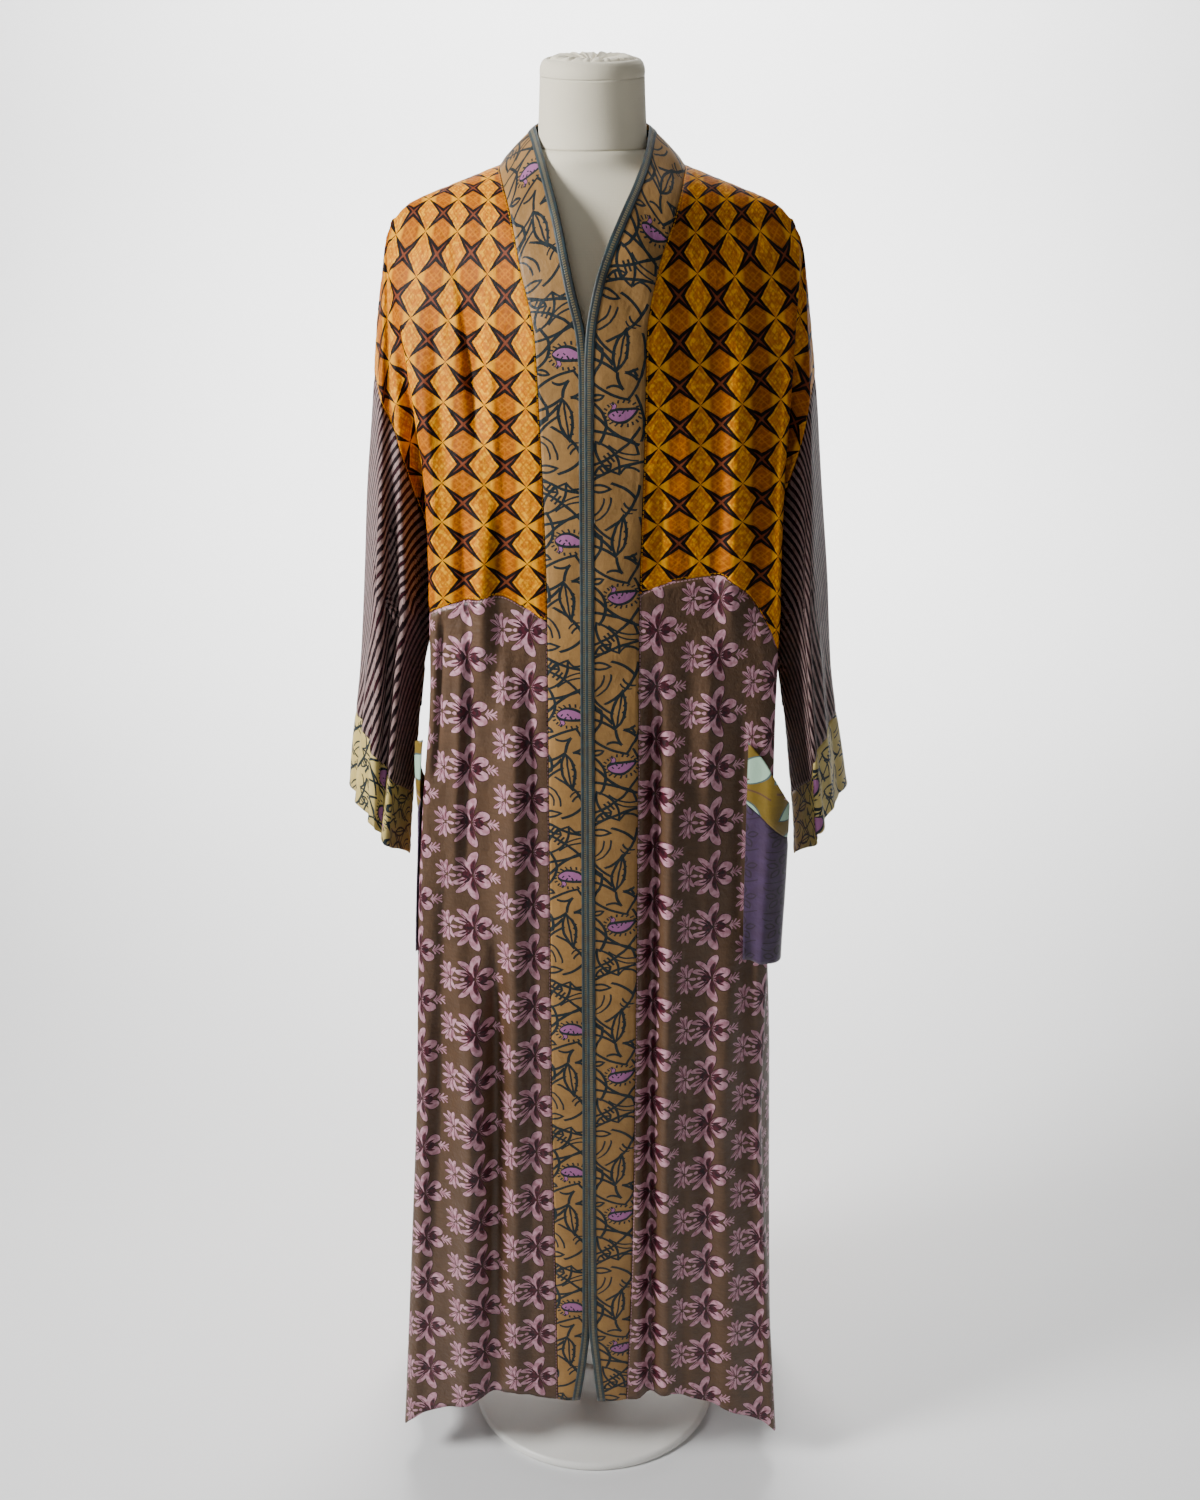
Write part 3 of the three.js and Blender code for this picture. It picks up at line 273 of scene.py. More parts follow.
# ---- the dress form and its stand ----
TORSO = table(("z", "x", "front", "back"), (
    (1422.2, 50.4, 52, 43), (1413, 58, 54, 45), (1406, 70, 53, 45), (1399, 94, 55, 48),
    (1390, 123, 58, 53), (1378, 154, 62, 59), (1367, 177.5, 66, 64), (1350, 184.5, 73, 69),
    (1320, 180, 84, 76), (1270, 169, 97, 83), (1210, 158, 105, 86), (1150, 147, 104, 82),
    (1080, 130, 95, 74), (1000, 119, 87, 71), (930, 130, 92, 82), (860, 144, 96, 92),
    (800, 149, 95, 95), (770, 146, 92, 92), (758, 137, 84, 84),
))
NECK = table(("z", "y", "x", "deep", "tilt"), (
    (1422.35, -4.5, 50.2, 47.5, 0), (1440, -5, 50, 46.5, 1), (1462, -8, 49, 46, 2),
    (1486, -12, 48, 46, 4),
))
CAP = table(("up", "wide", "gather"), (
    (0.1, 1, 0), (4, 1.005, 0), (8, 0.995, 0), (11.5, 0.965, 0), (14, 0.92, 0), (15, 0.87, 0),
    (14.4, 0.835, 0), (13.4, 0.822, 0.1), (14.4, 0.8, 0.4), (16.2, 0.76, 0.7), (17.2, 0.69, 0.9),
    (17.0, 0.6, 1.1), (15.8, 0.48, 1.2), (14.2, 0.34, 1.1), (13.2, 0.2, 0.8), (12.9, 0.06, 0.2),
))
CAP_SIDES = 264
RING_POWER = 2.2
NECK_ROOM = 12
FORM_SHARE = 0.3
POLE_R = 12.5
BASE_R = 140
BASE_THICK = 10
HUB_R = 24
HUB_TOP = 44
SOCKET_R = 34
SOCKET_DEEP = 14
TOUCH = 0.3


# ---- curves through tables ----
def ease(k):
    """Smooth step from 0 to 1."""
    c = np.clip(k, 0, 1)
    return c * c * (3 - 2 * c)


def mix(a, b, k):
    return a + (b - a) * k


def read(rows, key, column, at):
    """A column of a table at places along its key, with no overshoot between rows."""
    keys = rows[key].astype(float)
    values = rows[column].astype(float)
    if keys[0] > keys[-1]:
        keys, values = keys[::-1], values[::-1]
    at = np.clip(np.asarray(at, float), keys[0], keys[-1])
    slope = np.diff(values) / np.diff(keys)
    product = slope[:-1] * slope[1:]
    total = np.where(product > 0, slope[:-1] + slope[1:], 1)
    inner = np.where(product > 0, 2 * product / total, 0)
    tangent = np.concatenate([slope[:1], inner, slope[-1:]])
    i = np.clip(np.searchsorted(keys, at, side="right") - 1, 0, len(keys) - 2)
    span = keys[i + 1] - keys[i]
    k = (at - keys[i]) / span
    hermite = k * k * (3 - 2 * k) * (values[i + 1] - values[i])
    return values[i] + hermite + span * k * (1 - k) * ((1 - k) * tangent[i] - k * tangent[i + 1])


# ---- how the cloth hangs ----
def inward(s):
    return np.clip((TIP_S - s) / (TIP_S - NECK_HALF), 0, 1)


def shoulder_z(s):
    return mix(TIP_Z, NECK_Z, inward(s))


def roll_of(face):
    return np.where(face > 0, FRONT_ROLL, BACK_ROLL)


def roll_length(face):
    reach = np.where(face > 0, FRONT_REACH, BACK_REACH)
    return math.pi / 2 * np.hypot(roll_of(face), reach) / math.sqrt(2)


def hang(face, s, t):
    """Height of a column of cloth, and how far it has rolled over the shoulder."""
    share = inward(s)
    length = np.maximum(roll_length(face) * share, 1e-9)
    drop = roll_of(face) * share
    turn = math.pi / 2 * np.clip(t / length, 0, 1)
    past = t >= length
    fallen = np.where(past, drop + (t - length), drop * (1 - np.cos(turn)))
    return shoulder_z(s) - fallen, np.where(past, 1, np.sin(turn))


def down_to(face, s, z):
    """Cloth below the shoulder line at a height, for a place clear of the shoulder's roll."""
    far = np.sqrt(np.maximum((TIP_Z - z) ** 2 - (s - TIP_S) ** 2, 0))
    near = shoulder_z(s) - z + inward(s) * (roll_length(face) - roll_of(face))
    return np.where(s > TIP_S, far, near)


def corners(side, face, depth, piece, s):
    """The corners of one side's section at depths: cloth from the section's start, x and f."""
    def plan(column):
        return read(PLAN[side], "depth", column, depth)

    # body and sleeve share one line where they are sewn together under the arm
    joined = 1 - ease(np.abs(s - BODY_HALF) / UNDERARM_JOIN)
    joined = joined * (1 - ease(np.abs(depth - UNDERARM_DEPTH) / UNDERARM_JOIN))
    shared = (plan("seamX") + plan("underX")) / 2
    seam_x, under_x = mix(plan("seamX"), shared, joined), mix(plan("underX"), shared, joined)

    centre = read(BACK_PLAN, "depth", "centre", depth)
    corner = read(BACK_PLAN, "depth", "corner", depth)
    zero = np.zeros_like(depth)
    spread = ease((depth + NECK_Z - TIP_Z) / NAPE_FADE)
    nape = (
        zero + NECK_HALF,
        mix(NECK_HALF, NECK_HALF * plan("bodyX") / TIP_S, spread),
        mix(centre, corner, (NECK_HALF / TIP_S) ** 2),
    )
    if face > 0:
        start = [(zero, plan("edgeX"), plan("edgeF"))]
        body = (TIP_S - plan("edgeX"), plan("bodyX"), plan("bodyF"))
    else:
        start = [(zero, zero, centre), nape]
        body = (zero + TIP_S, plan("bodyX"), corner)
    arm_x, arm_f = plan("armX"), plan("armF")

    def arm(first, from_x, from_angle):
        length = depth * (math.pi / 2 - from_angle)
        pleat = ARM_PLEAT[side]
        return [
            (first + length * ARM_ROUND["ridge"],
             mix(from_x, arm_x, pleat["ridge"]), arm_f - RIDGE_BACK),
            (first + length * ARM_ROUND["valley"],
             mix(from_x, arm_x, pleat["valley"]), arm_f - plan("pleat")),
            (first + length * ARM_ROUND["corner"], arm_x, arm_f),
            (first + length, plan("outX"), zero),
        ]

    if np.all(depth <= UNDERARM_DEPTH):
        x = under_x if piece == "sleeve" else seam_x
        first = body[0] + depth * UNDERARM_ANGLE
        return [*start, body, (first, x, plan("seamF")), *arm(first, x, UNDERARM_ANGLE)]
    if piece == "sleeve":
        return [(zero, under_x, zero), *arm(zero, under_x, np.arccos(ARMHOLE / depth))]
    length = depth * np.arcsin((BODY_HALF - TIP_S) / depth)
    grown = ease((depth - UNDERARM_DEPTH) / SIDE_PLEAT["grows"])

    def along_side(k, push):
        return (body[0] + length * k, mix(body[1], seam_x, k) + push * grown, mix(body[2], 0, k))

    pleats = [
        along_side(SIDE_PLEAT["inAt"], -SIDE_PLEAT["in"]),
        along_side(SIDE_PLEAT["outAt"], SIDE_PLEAT["out"]),
    ]
    return [*start, body, *pleats, (body[0] + length, seam_x, zero)]


def along(points, place, mirrored_start):
    """Points along a section's corners; past a seam the section goes on mirrored."""
    end = points[-1][0]
    flip = np.where(place > end, -1.0, 1.0)
    place = np.where(place > end, 2 * end - place, place)
    if mirrored_start:
        flip = np.where(place < 0, -flip, flip)
        place = np.abs(place)
    x = np.zeros_like(place)
    f = np.zeros_like(place)
    for i in range(1, len(points)):
        (la, xa, fa), (lb, xb, fb) = points[i - 1], points[i]
        here = (place > la) | (i == 1)
        k = (place - la) / np.maximum(lb - la, 1e-9)
        x = np.where(here, mix(xa, xb, k), x)
        f = np.where(here, mix(fa, fb, k), f)
    return x, flip * f


def run_along(points, place):
    """Real length of a section from its start to places along it."""
    run = 0
    for (la, xa, fa), (lb, xb, fb) in zip(points[:-1], points[1:]):
        k = np.clip((place - la) / np.maximum(lb - la, 1e-9), 0, 1)
        run = run + np.hypot(xb - xa, fb - fa) * k
    return run


ROUNDING = tuple((step / 4, 3 - abs(step) / 2) for step in range(-4, 5))     # share of reach, weight
ROUND_REACH = 26
ROUND_SHARE = 0.12
SHARP = {"deep": 90, "wide": 60}
TIP_ROUND = {"across": 17, "down": 24, "in": 4, "drop": 8}


def rounded(points, place, depth, mirrored_start, seam_at):
    """The same with rounded corners, which stay sharp at the underarm."""
    near = 1 - ease(np.abs(depth - UNDERARM_DEPTH) / SHARP["deep"])
    at_seam = 1 - ease(np.abs(place - seam_at) / SHARP["wide"])
    reach = np.minimum(ROUND_REACH, ROUND_SHARE * np.maximum(depth, 1)) * (1 - near * at_seam)
    total = sum(weight for _, weight in ROUNDING)
    x, f = 0, 0
    for step, weight in ROUNDING:
        px, pf = along(points, place + step * reach, mirrored_start)
        x = x + px * weight / total
        f = f + pf * weight / total
    return x, f


def folds(side, face, s, z, crease_depth):
    """How far the folds and creases move a column forward at a height."""
    out = np.zeros_like(s)
    above_hem = ease(z / HEM_CALM_TO)
    for row in rows_of(FOLDS, side=side, face=face):
        across = 1 - ease(np.abs(s - row["at"]) / row["width"])
        reach = ease((row["top"] - z) / FOLD_FADE["top"]) * ease((z - row["foot"]) / FOLD_FADE["foot"])
        out += row["out"] * across * reach * mix(FOLD_CALM, FOLD_DEPTH, above_hem)
    for row in rows_of(CREASES, side=side, face=face):
        place = row["at"] + row["lean"] * (row["top"] - z)
        across = np.exp(-np.abs((s - place) / row["width"]) ** CREASE_POWER)
        reach = ease((row["top"] - z) / row["fade"]) * ease((z - row["foot"]) / row["fade"])
        out += row["out"] * across * reach * crease_depth * mix(HEM_CALM, 1, above_hem)
    return out


def garment(side, face, s, t, piece, crease_depth=1.0):
    """Hangs points of flat cloth. side is -1 or 1, face 1 in front and -1 behind.

    Also gives each point's place on the cloth as it hangs, unrolled: its true s and t.
    """
    s, t, side, face = np.broadcast_arrays(*(np.asarray(v, float) for v in (s, t, side, face)))
    face = np.where(t < 0, -face, face)
    t = np.abs(t)
    side = np.where(s < 0, -side, side)
    s = np.abs(s)
    past = (s > BODY_HALF) & (t > ARMHOLE)
    face = np.where(past, -face, face)
    if piece == "body":
        s = np.where(past, 2 * BODY_HALF - s, s)
    else:
        t = np.where(past, 2 * ARMHOLE - t, t)
        face = np.where(t < 0, -face, face)
        t = np.abs(t)
    inside = s <= TIP_S
    z, rolled = hang(face, s, t)
    z = np.where(inside, z, TIP_Z - np.hypot(s - TIP_S, t))
    rolled = np.where(inside, rolled, 1)
    depth = TIP_Z - z
    out = np.empty(s.shape + (3,))
    true_s, true_t = np.empty(s.shape), np.empty(s.shape)
    for a_side in (-1, 1):
        for a_face in (-1, 1):
            for below in (False, True):
                mask = (side == a_side) & (face == a_face) & ((depth > UNDERARM_DEPTH) == below)
                if not mask.any():
                    continue
                S, T, Z, D = s[mask], t[mask], z[mask], depth[mask]
                points = corners(a_side, a_face, D, piece, S)
                sleeve_only = piece == "sleeve" and below
                angle = np.arctan2(S - TIP_S, T)
                first = read(PLAN[a_side], "depth", "edgeX", D) if a_face > 0 else 0
                if sleeve_only:
                    place = D * (angle - np.arccos(ARMHOLE / D))
                    seam_at = 0
                else:
                    body_at = TIP_S - first
                    place = np.where(S <= TIP_S, S - first, body_at + D * angle)
                    seam_at = body_at + np.minimum(D, UNDERARM_DEPTH) * UNDERARM_ANGLE
                x, f = rounded(points, place, D, sleeve_only, seam_at)
                f = (f + folds(a_side, a_face, S, Z, crease_depth)) * rolled[mask]
                tip = np.exp(-(((S - TIP_S) / TIP_ROUND["across"]) ** 2) - T / TIP_ROUND["down"])
                x, height = x - TIP_ROUND["in"] * tip, Z - TIP_ROUND["drop"] * tip
                out[mask] = np.stack([a_side * x, -a_face * f, height], axis=-1)
                run = run_along(points, np.abs(place))
                if piece == "sleeve":
                    whole = run_along(points, points[-1][0])
                    turned = math.pi / 2 - (whole - run) / np.maximum(D, 1)
                    true_s[mask] = TIP_S + D * np.sin(turned)
                    true_t[mask] = a_face * D * np.cos(turned)
                else:
                    corner = run_along(points, TIP_S - first + 0 * D)
                    turned = (run - corner) / np.maximum(D, 1)
                    past_tip = S > TIP_S
                    true_s[mask] = first + np.where(past_tip, corner + D * np.sin(turned), run)
                    rolled_in = inward(S) * (roll_length(a_face) - roll_of(a_face))
                    eased = T - (shoulder_z(S) - TIP_Z) - rolled_in
                    true_t[mask] = np.where(past_tip, D * np.cos(turned), eased)
    return out, (true_s, true_t)


def front_edge(side, t):
    """Cloth coordinate of the front edge in a row t, where the neckband is sewn on."""
    z, _ = hang(FRONT, NECK_HALF, np.maximum(t, 0))
    return read(PLAN[side], "depth", "edgeX", TIP_Z - z)


def yoke_at(side, s):
    return down_to(FRONT, s, read(YOKE[side], "at", "z", s))


def side_hem(s):
    """What the hem is cut shorter by towards the side seam, so that it hangs more nearly level."""
    return SIDE_HEM_SHARE * np.maximum(s - TIP_S, 0) ** 2 / (2 * HEM_SIDE)


def hem_at(s):
    return HEM_SIDE + (HEM_EDGE - HEM_SIDE) * ease((TIP_S - s) / HEM_RUN) - side_hem(s)


def back_hem_at(s):
    return HEM_SIDE + BACK_HEM_DROP * ease((TIP_S - s) / TIP_S) - side_hem(s)


# ---- cloth as thin shells ----
PUCKER_WAVES = ((17.0, 0.3), (11.3, 1.9), (29.0, 4.1))
PUCKER_SHARE = 0.55     # depth of the puckers against how far the seam draws the cloth in
SEAM_REACH = 4.5
PUCKER_SPREAD = 3.5     # how many times further the puckers reach
HEM_FOLD = 14
HEM_EXTRA = 0.9         # a hem's added thickness, in thicknesses of silk
CUFF_FOLD = 5
CUFF_EXTRA = 1.2
EDGE_PROFILE = (0.35, 0.8)


def facing_out(points, centre=None):
    """Unit normals of a grid of points, turned away from the wearer or from a given middle."""
    normal = np.cross(np.gradient(points, axis=1), np.gradient(points, axis=0))
    normal /= np.maximum(np.linalg.norm(normal, axis=-1, keepdims=True), 1e-9)
    away = points - (np.array([0.0, 0.0, 0.0]) if centre is None else centre)
    away[..., 2] = 0
    return normal * np.sign(np.sum(normal * away))


def pucker(along):
    """An uneven wave along a seam, between about -1 and 1."""
    wave = sum(np.sin(2 * math.pi * along / length + start) for length, start in PUCKER_WAVES)
    return wave / len(PUCKER_WAVES)


def seam_map(s, t, edges):
    """Place along the nearest seam and distance from it, from (distance, along) pairs."""
    near = np.full(np.broadcast(s, t).shape, 1e3)
    along = np.zeros_like(near)
    for distance, run in edges:
        closer = distance < near
        near = np.where(closer, distance, near)
        along = np.where(closer, run, along)
    return along, near


def draw_in(near, along, depth):
    """Cloth is drawn in along its seams, and puckers there."""
    held = np.exp(-((near / SEAM_REACH) ** 2))
    wide = np.exp(-((near / (PUCKER_SPREAD * SEAM_REACH)) ** 2))
    return -depth * held + PUCKER_SHARE * depth * pucker(along) * (wide - held)


def add_mesh(name, vertices, faces, uvs=None):
    """A smooth mesh object from points in millimetres. uvs gives a flat place for each vertex."""
    mesh = bpy.data.meshes.new(name)
    mesh.from_pydata((np.asarray(vertices) * MM).tolist(), [], np.asarray(faces).tolist())
    corner = np.zeros(len(mesh.loops), dtype=np.int32)
    mesh.loops.foreach_get("vertex_index", corner)
    for map_name, flat in (uvs or {}).items():
        layer = mesh.uv_layers.new(name=map_name)
        layer.data.foreach_set("uv", (np.asarray(flat)[corner] * MM).astype(np.float32).ravel())
    mesh.polygons.foreach_set("use_smooth", np.ones(len(mesh.polygons), dtype=bool))
    mesh.update()
    piece = bpy.data.objects.new(name, mesh)
    bpy.context.scene.collection.objects.link(piece)
    return piece


def shell(name, points, normals, thick, flat, seam):
    """A closed thin shell over a grid, with the maps cut (its flat cut) and seam (along, away)."""
    rows, cols = points.shape[:2]
    half = (np.broadcast_to(thick, (rows, cols)) / 2)[..., None]
    vertices = np.concatenate([(points + normals * half), (points - normals * half)]).reshape(-1, 3)
    index = np.arange(rows * cols).reshape(rows, cols)
    a, b, c, d = index[:-1, :-1], index[1:, :-1], index[1:, 1:], index[:-1, 1:]
    outer = np.stack([a, b, c, d], axis=-1).reshape(-1, 4)
    inner = outer[:, ::-1] + rows * cols
    loop = np.concatenate([index[0, :-1], index[:-1, -1], index[-1, :0:-1], index[:0:-1, 0]])
    after = np.roll(loop, -1)
    rim = np.stack([loop, after, after + rows * cols, loop + rows * cols], axis=-1)
    faces = np.concatenate([outer, inner, rim])
    first = vertices[outer[0]]
    out = np.cross(first[1] - first[0], first[2] - first[0]) @ normals.reshape(-1, 3)[outer[0, 0]]
    if out < 0:
        faces = faces[:, ::-1]
    maps = {
        "cut": np.tile(np.stack([flat[0], flat[1]], axis=-1).reshape(-1, 2), (2, 1)),
        "seam": np.tile(np.stack([seam[0], seam[1]], axis=-1).reshape(-1, 2), (2, 1)),
    }
    return add_mesh(name, vertices, faces, maps)


def flat_size(s, t):
    """Width, length and area in metres of a grid of flat cloth, measured along its own slant."""
    ds = (s[:-1, 1:] - s[1:, :-1], t[:-1, 1:] - t[1:, :-1])
    dt = (s[1:, 1:] - s[:-1, :-1], t[1:, 1:] - t[:-1, :-1])
    area = np.abs(ds[0] * dt[1] - ds[1] * dt[0]).sum() / 2
    middle_s, middle_t = s.mean(axis=0), t.mean(axis=0)
    lean = math.atan(np.polyfit(middle_s, middle_t, 1)[0]) if np.ptp(middle_s) > 1 else 0
    sizes = []
    for turn in (0, lean):
        c, d = math.cos(turn), math.sin(turn)
        sizes.append((np.ptp(s * c + t * d), np.ptp(t * c - s * d)))
    width, length = min(sizes, key=lambda size: size[0] * size[1])
    return (width * MM, length * MM), min(float(area), width * length) * MM * MM


def finish_piece(piece, material, nodes, slot):
    """What every piece of the model needs: its finish and its body. It also hides the imported part
    that it stands for.
    """
    piece.data.materials.append(material)
    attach(piece, "root")
    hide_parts(*nodes)
    return piece


SIDES = {-1: "left", 1: "right"}
FRONT_COLUMNS = 44
SIDE_COLUMNS = 36
ROW_PASSES = 3


def front_grid(side, t_at, shares):
    """Flat coordinates of a front panel, from its front edge to the side seam."""
    shares = shares[:, None]
    inner = np.linspace(0, 1, FRONT_COLUMNS + 1)[None, :]
    s = mix(NECK_HALF, TIP_S, inner) + 0 * shares
    for _ in range(ROW_PASSES):
        s = mix(front_edge(side, t_at(s, shares)), TIP_S, inner)
    outer = mix(TIP_S, BODY_HALF, np.linspace(0, 1, SIDE_COLUMNS + 1)[None, 1:]) + 0 * shares
    return np.hstack([s, outer]), np.hstack([t_at(s, shares), t_at(outer, shares)])


UPPER_ROWS = 88
ARMHOLE_SHARE = 0.74
LOWER_ROWS = 150


def build_front(side, upper, sizes):
    """Points, normals, thickness, flat map and seam map of one front panel."""
    if upper:
        def t_at(s, share):
            past = mix(ARMHOLE, yoke_at(side, s), (share - ARMHOLE_SHARE) / (1 - ARMHOLE_SHARE))
            return np.where(share <= ARMHOLE_SHARE, ARMHOLE * share / ARMHOLE_SHARE, past)
        shares = np.linspace(0, 1, UPPER_ROWS + 1)
    else:
        def t_at(s, share):
            return mix(yoke_at(side, s), hem_at(s), share)
        shares = np.linspace(0, 1, LOWER_ROWS + 1)
    s, t = front_grid(side, t_at, shares)
    points, true = garment(side, FRONT, s, t, "body", sizes.crease_depth)
    normals = facing_out(points)
    edges = [(BODY_HALF - s, t), (np.abs(yoke_at(side, s) - t), s), (s - front_edge(side, t), t)]
    if upper:
        edges.append((np.abs(t), s))
    along, near = seam_map(s, t, edges)
    hem = np.zeros_like(s) if upper else ease(1 - (hem_at(s) - t) / HEM_FOLD)
    lift = draw_in(near, along, sizes.seam_depth)
    points = points + normals * lift[..., None]
    thick = sizes.silk / MM * (1 + HEM_EXTRA * hem)
    return points, normals, thick, (side * true[0], -true[1]), (along, near), flat_size(*true)


BACK_NECK_COLUMNS = 20
BACK_SHOULDER_COLUMNS = 26
BACK_SIDE_COLUMNS = 34
BACK_UPPER_ROWS = 60
BACK_LOWER_ROWS = 150


def build_back(sizes):
    """The back, one piece from side seam to side seam."""
    half = np.concatenate([
        NECK_HALF * np.sin(np.linspace(0, math.pi / 2, BACK_NECK_COLUMNS + 1)),
        np.linspace(NECK_HALF, TIP_S, BACK_SHOULDER_COLUMNS + 1)[1:],
        np.linspace(TIP_S, BODY_HALF, BACK_SIDE_COLUMNS + 1)[1:],
    ])
    s = np.concatenate([-half[:0:-1], half])[None, :]
    neck = BACK_NECK_DROP * np.sqrt(np.clip(1 - (s / NECK_HALF) ** 2, 0, 1))
    upper = mix(neck, ARMHOLE, np.linspace(0, 1, BACK_UPPER_ROWS + 1)[:, None])
    lower = mix(ARMHOLE, back_hem_at(np.abs(s)), np.linspace(0, 1, BACK_LOWER_ROWS + 1)[1:, None])
    t = np.vstack([upper, lower])
    s = s + 0 * t
    sign = np.where(s < 0, -1, 1)
    points, true = garment(sign, BACK, np.abs(s), t, "body", sizes.crease_depth)
    normals = facing_out(points)
    along, near = seam_map(s, t, [(BODY_HALF - np.abs(s), t), (t - neck, s)])
    lift = draw_in(near, along, sizes.seam_depth)
    hem = ease(1 - (back_hem_at(np.abs(s)) - t) / HEM_FOLD)
    points = points + normals * lift[..., None]
    thick = sizes.silk / MM * (1 + HEM_EXTRA * hem)
    true = (sign * true[0], true[1])
    return points, normals, thick, (true[0], -true[1]), (along, near), flat_size(*true)


ARM_COLUMNS = 72
SLEEVE_ROWS = 70
CUFF_ROWS = 20
ARM_PASSES = 12
# at and width are shares of the way round to the outer fold, and lean is its change over ARM_LEAN_RUN.
ARM_LEAN_RUN = 300
ARM_CREASE_FADE = {"top": 80, "foot": 60}
ARM_CREASE_POWER = 1.6
ARM_CREASES = table(("side", "face", "at", "lean", "width", "out", "top", "foot"), (
    (-1, FRONT, 0.36, 0.02, 0.035, 2.6, 1130, 700), (-1, FRONT, 0.47, 0.05, 0.03, -2.8, 1060, 700),
    (-1, FRONT, 0.58, 0.06, 0.04, 3.6, 1150, 640), (-1, FRONT, 0.68, 0.03, 0.028, -3.6, 1080, 640),
    (-1, FRONT, 0.77, 0.05, 0.035, 3.2, 990, 640), (-1, FRONT, 0.88, 0.02, 0.03, -3.4, 940, 640),
    (-1, BACK, 0.42, 0.03, 0.04, 3.0, 1120, 640), (-1, BACK, 0.56, 0.04, 0.035, -3.4, 1060, 640),
    (-1, BACK, 0.7, 0.03, 0.04, 3.6, 1010, 640), (-1, BACK, 0.84, 0.02, 0.03, -3.0, 960, 640),
    (1, FRONT, 0.5, 0.04, 0.035, 2.4, 1100, 660), (1, FRONT, 0.62, 0.05, 0.03, -2.2, 1060, 640),
    (1, FRONT, 0.72, 0.04, 0.035, 3.2, 1000, 640), (1, FRONT, 0.86, 0.02, 0.03, -2.4, 960, 640),
    (1, BACK, 0.46, 0.03, 0.04, 2.6, 1080, 640), (1, BACK, 0.6, 0.04, 0.035, -2.4, 1040, 640),
    (1, BACK, 0.76, 0.03, 0.04, 3.2, 980, 640), (1, BACK, 0.88, 0.02, 0.03, -2.2, 940, 640),
))
CUFF_FLARE = 3.5        # the cuff's loose edge waves in and out by this much
CUFF_LOBES = {-1: 2.6, 1: 2.1}
CUFF_WAVES = {"at": 0.45, "wide": 0.4, "start": 0.6}


def arm_creases(side, share, z):
    """Creases of a sleeve: share runs from 0 under the arm to 1 at its outer fold and back to 2."""
    out = np.zeros_like(z)
    for row in rows_of(ARM_CREASES, side=side):
        place = row["at"] + row["lean"] * (row["top"] - z) / ARM_LEAN_RUN
        place = place if row["face"] == FRONT else 2 - place
        across = np.exp(-np.abs((share - place) / row["width"]) ** ARM_CREASE_POWER)
        reach = ease((row["top"] - z) / ARM_CREASE_FADE["top"])
        reach = reach * ease((z - row["foot"]) / ARM_CREASE_FADE["foot"])
        out = out + row["out"] * across * reach
    return out


def arm_row(s, share):
    """Cloth below the shoulder line at a share of the way round the arm, at a distance s out."""
    angle = mix(UNDERARM_ANGLE, math.pi / 2, share) + 0 * s
    for _ in range(ARM_PASSES):
        depth = (s - TIP_S) / np.sin(angle)
        past = np.arccos(np.clip(ARMHOLE / np.maximum(depth, UNDERARM_DEPTH), 0, 1))
        angle = mix(np.where(depth > UNDERARM_DEPTH, past, UNDERARM_ANGLE), math.pi / 2, share)
    return np.where(share == 0, ARMHOLE, (s - TIP_S) / np.tan(angle))


def build_sleeve(side, start, end, rows, sizes, cuff):
    """A stretch of sleeve, a tube whose seam is under the arm."""
    s = np.linspace(start, end, rows + 1)[:, None]
    share = np.linspace(0, 1, ARM_COLUMNS + 1)[None, :]
    down = arm_row(s, share)
    t = np.hstack([down, -down[:, -2::-1]])
    s = s + 0 * t
    points, true = garment(side, FRONT, s, t, "sleeve", sizes.crease_depth)
    if cuff:
        round_it = np.linalg.norm(np.diff(points[rows // 2], axis=0), axis=1)
        true = (s, np.concatenate([[0], np.cumsum(round_it)])[None, :] + 0 * s)
    normals = facing_out(points, points.mean(axis=1, keepdims=True))
    edges = [(s - start, t), (end - s, t), (ARMHOLE - np.abs(t), s)]
    along, near = seam_map(s, t, edges[:1] + edges[2:] if cuff else edges)
    lift = draw_in(near, along, sizes.seam_depth)
    round_share = np.concatenate([share[0], 2 - share[0, -2::-1]])[None, :]
    lift = lift + arm_creases(side, round_share, points[..., 2]) * sizes.crease_depth
    from_fold = np.abs(round_share - 1)
    loose = ease((s - CUFF_S) / (SLEEVE_END - CUFF_S))
    loose = loose * ease(1 - np.abs(from_fold - CUFF_WAVES["at"]) / CUFF_WAVES["wide"])
    wave = np.sin(2 * math.pi * CUFF_LOBES[side] * round_share + CUFF_WAVES["start"])
    points = points + normals * (lift + CUFF_FLARE * loose * wave)[..., None]
    hem = ease(1 - (end - s) / CUFF_FOLD) if cuff else 0
    thick = sizes.silk / MM * (1 + CUFF_EXTRA * hem)
    flat = (s - start, true[1]) if cuff else (s, t)
    return points, normals, thick, (side * flat[0], -flat[1]), (along, near), flat_size(*true)


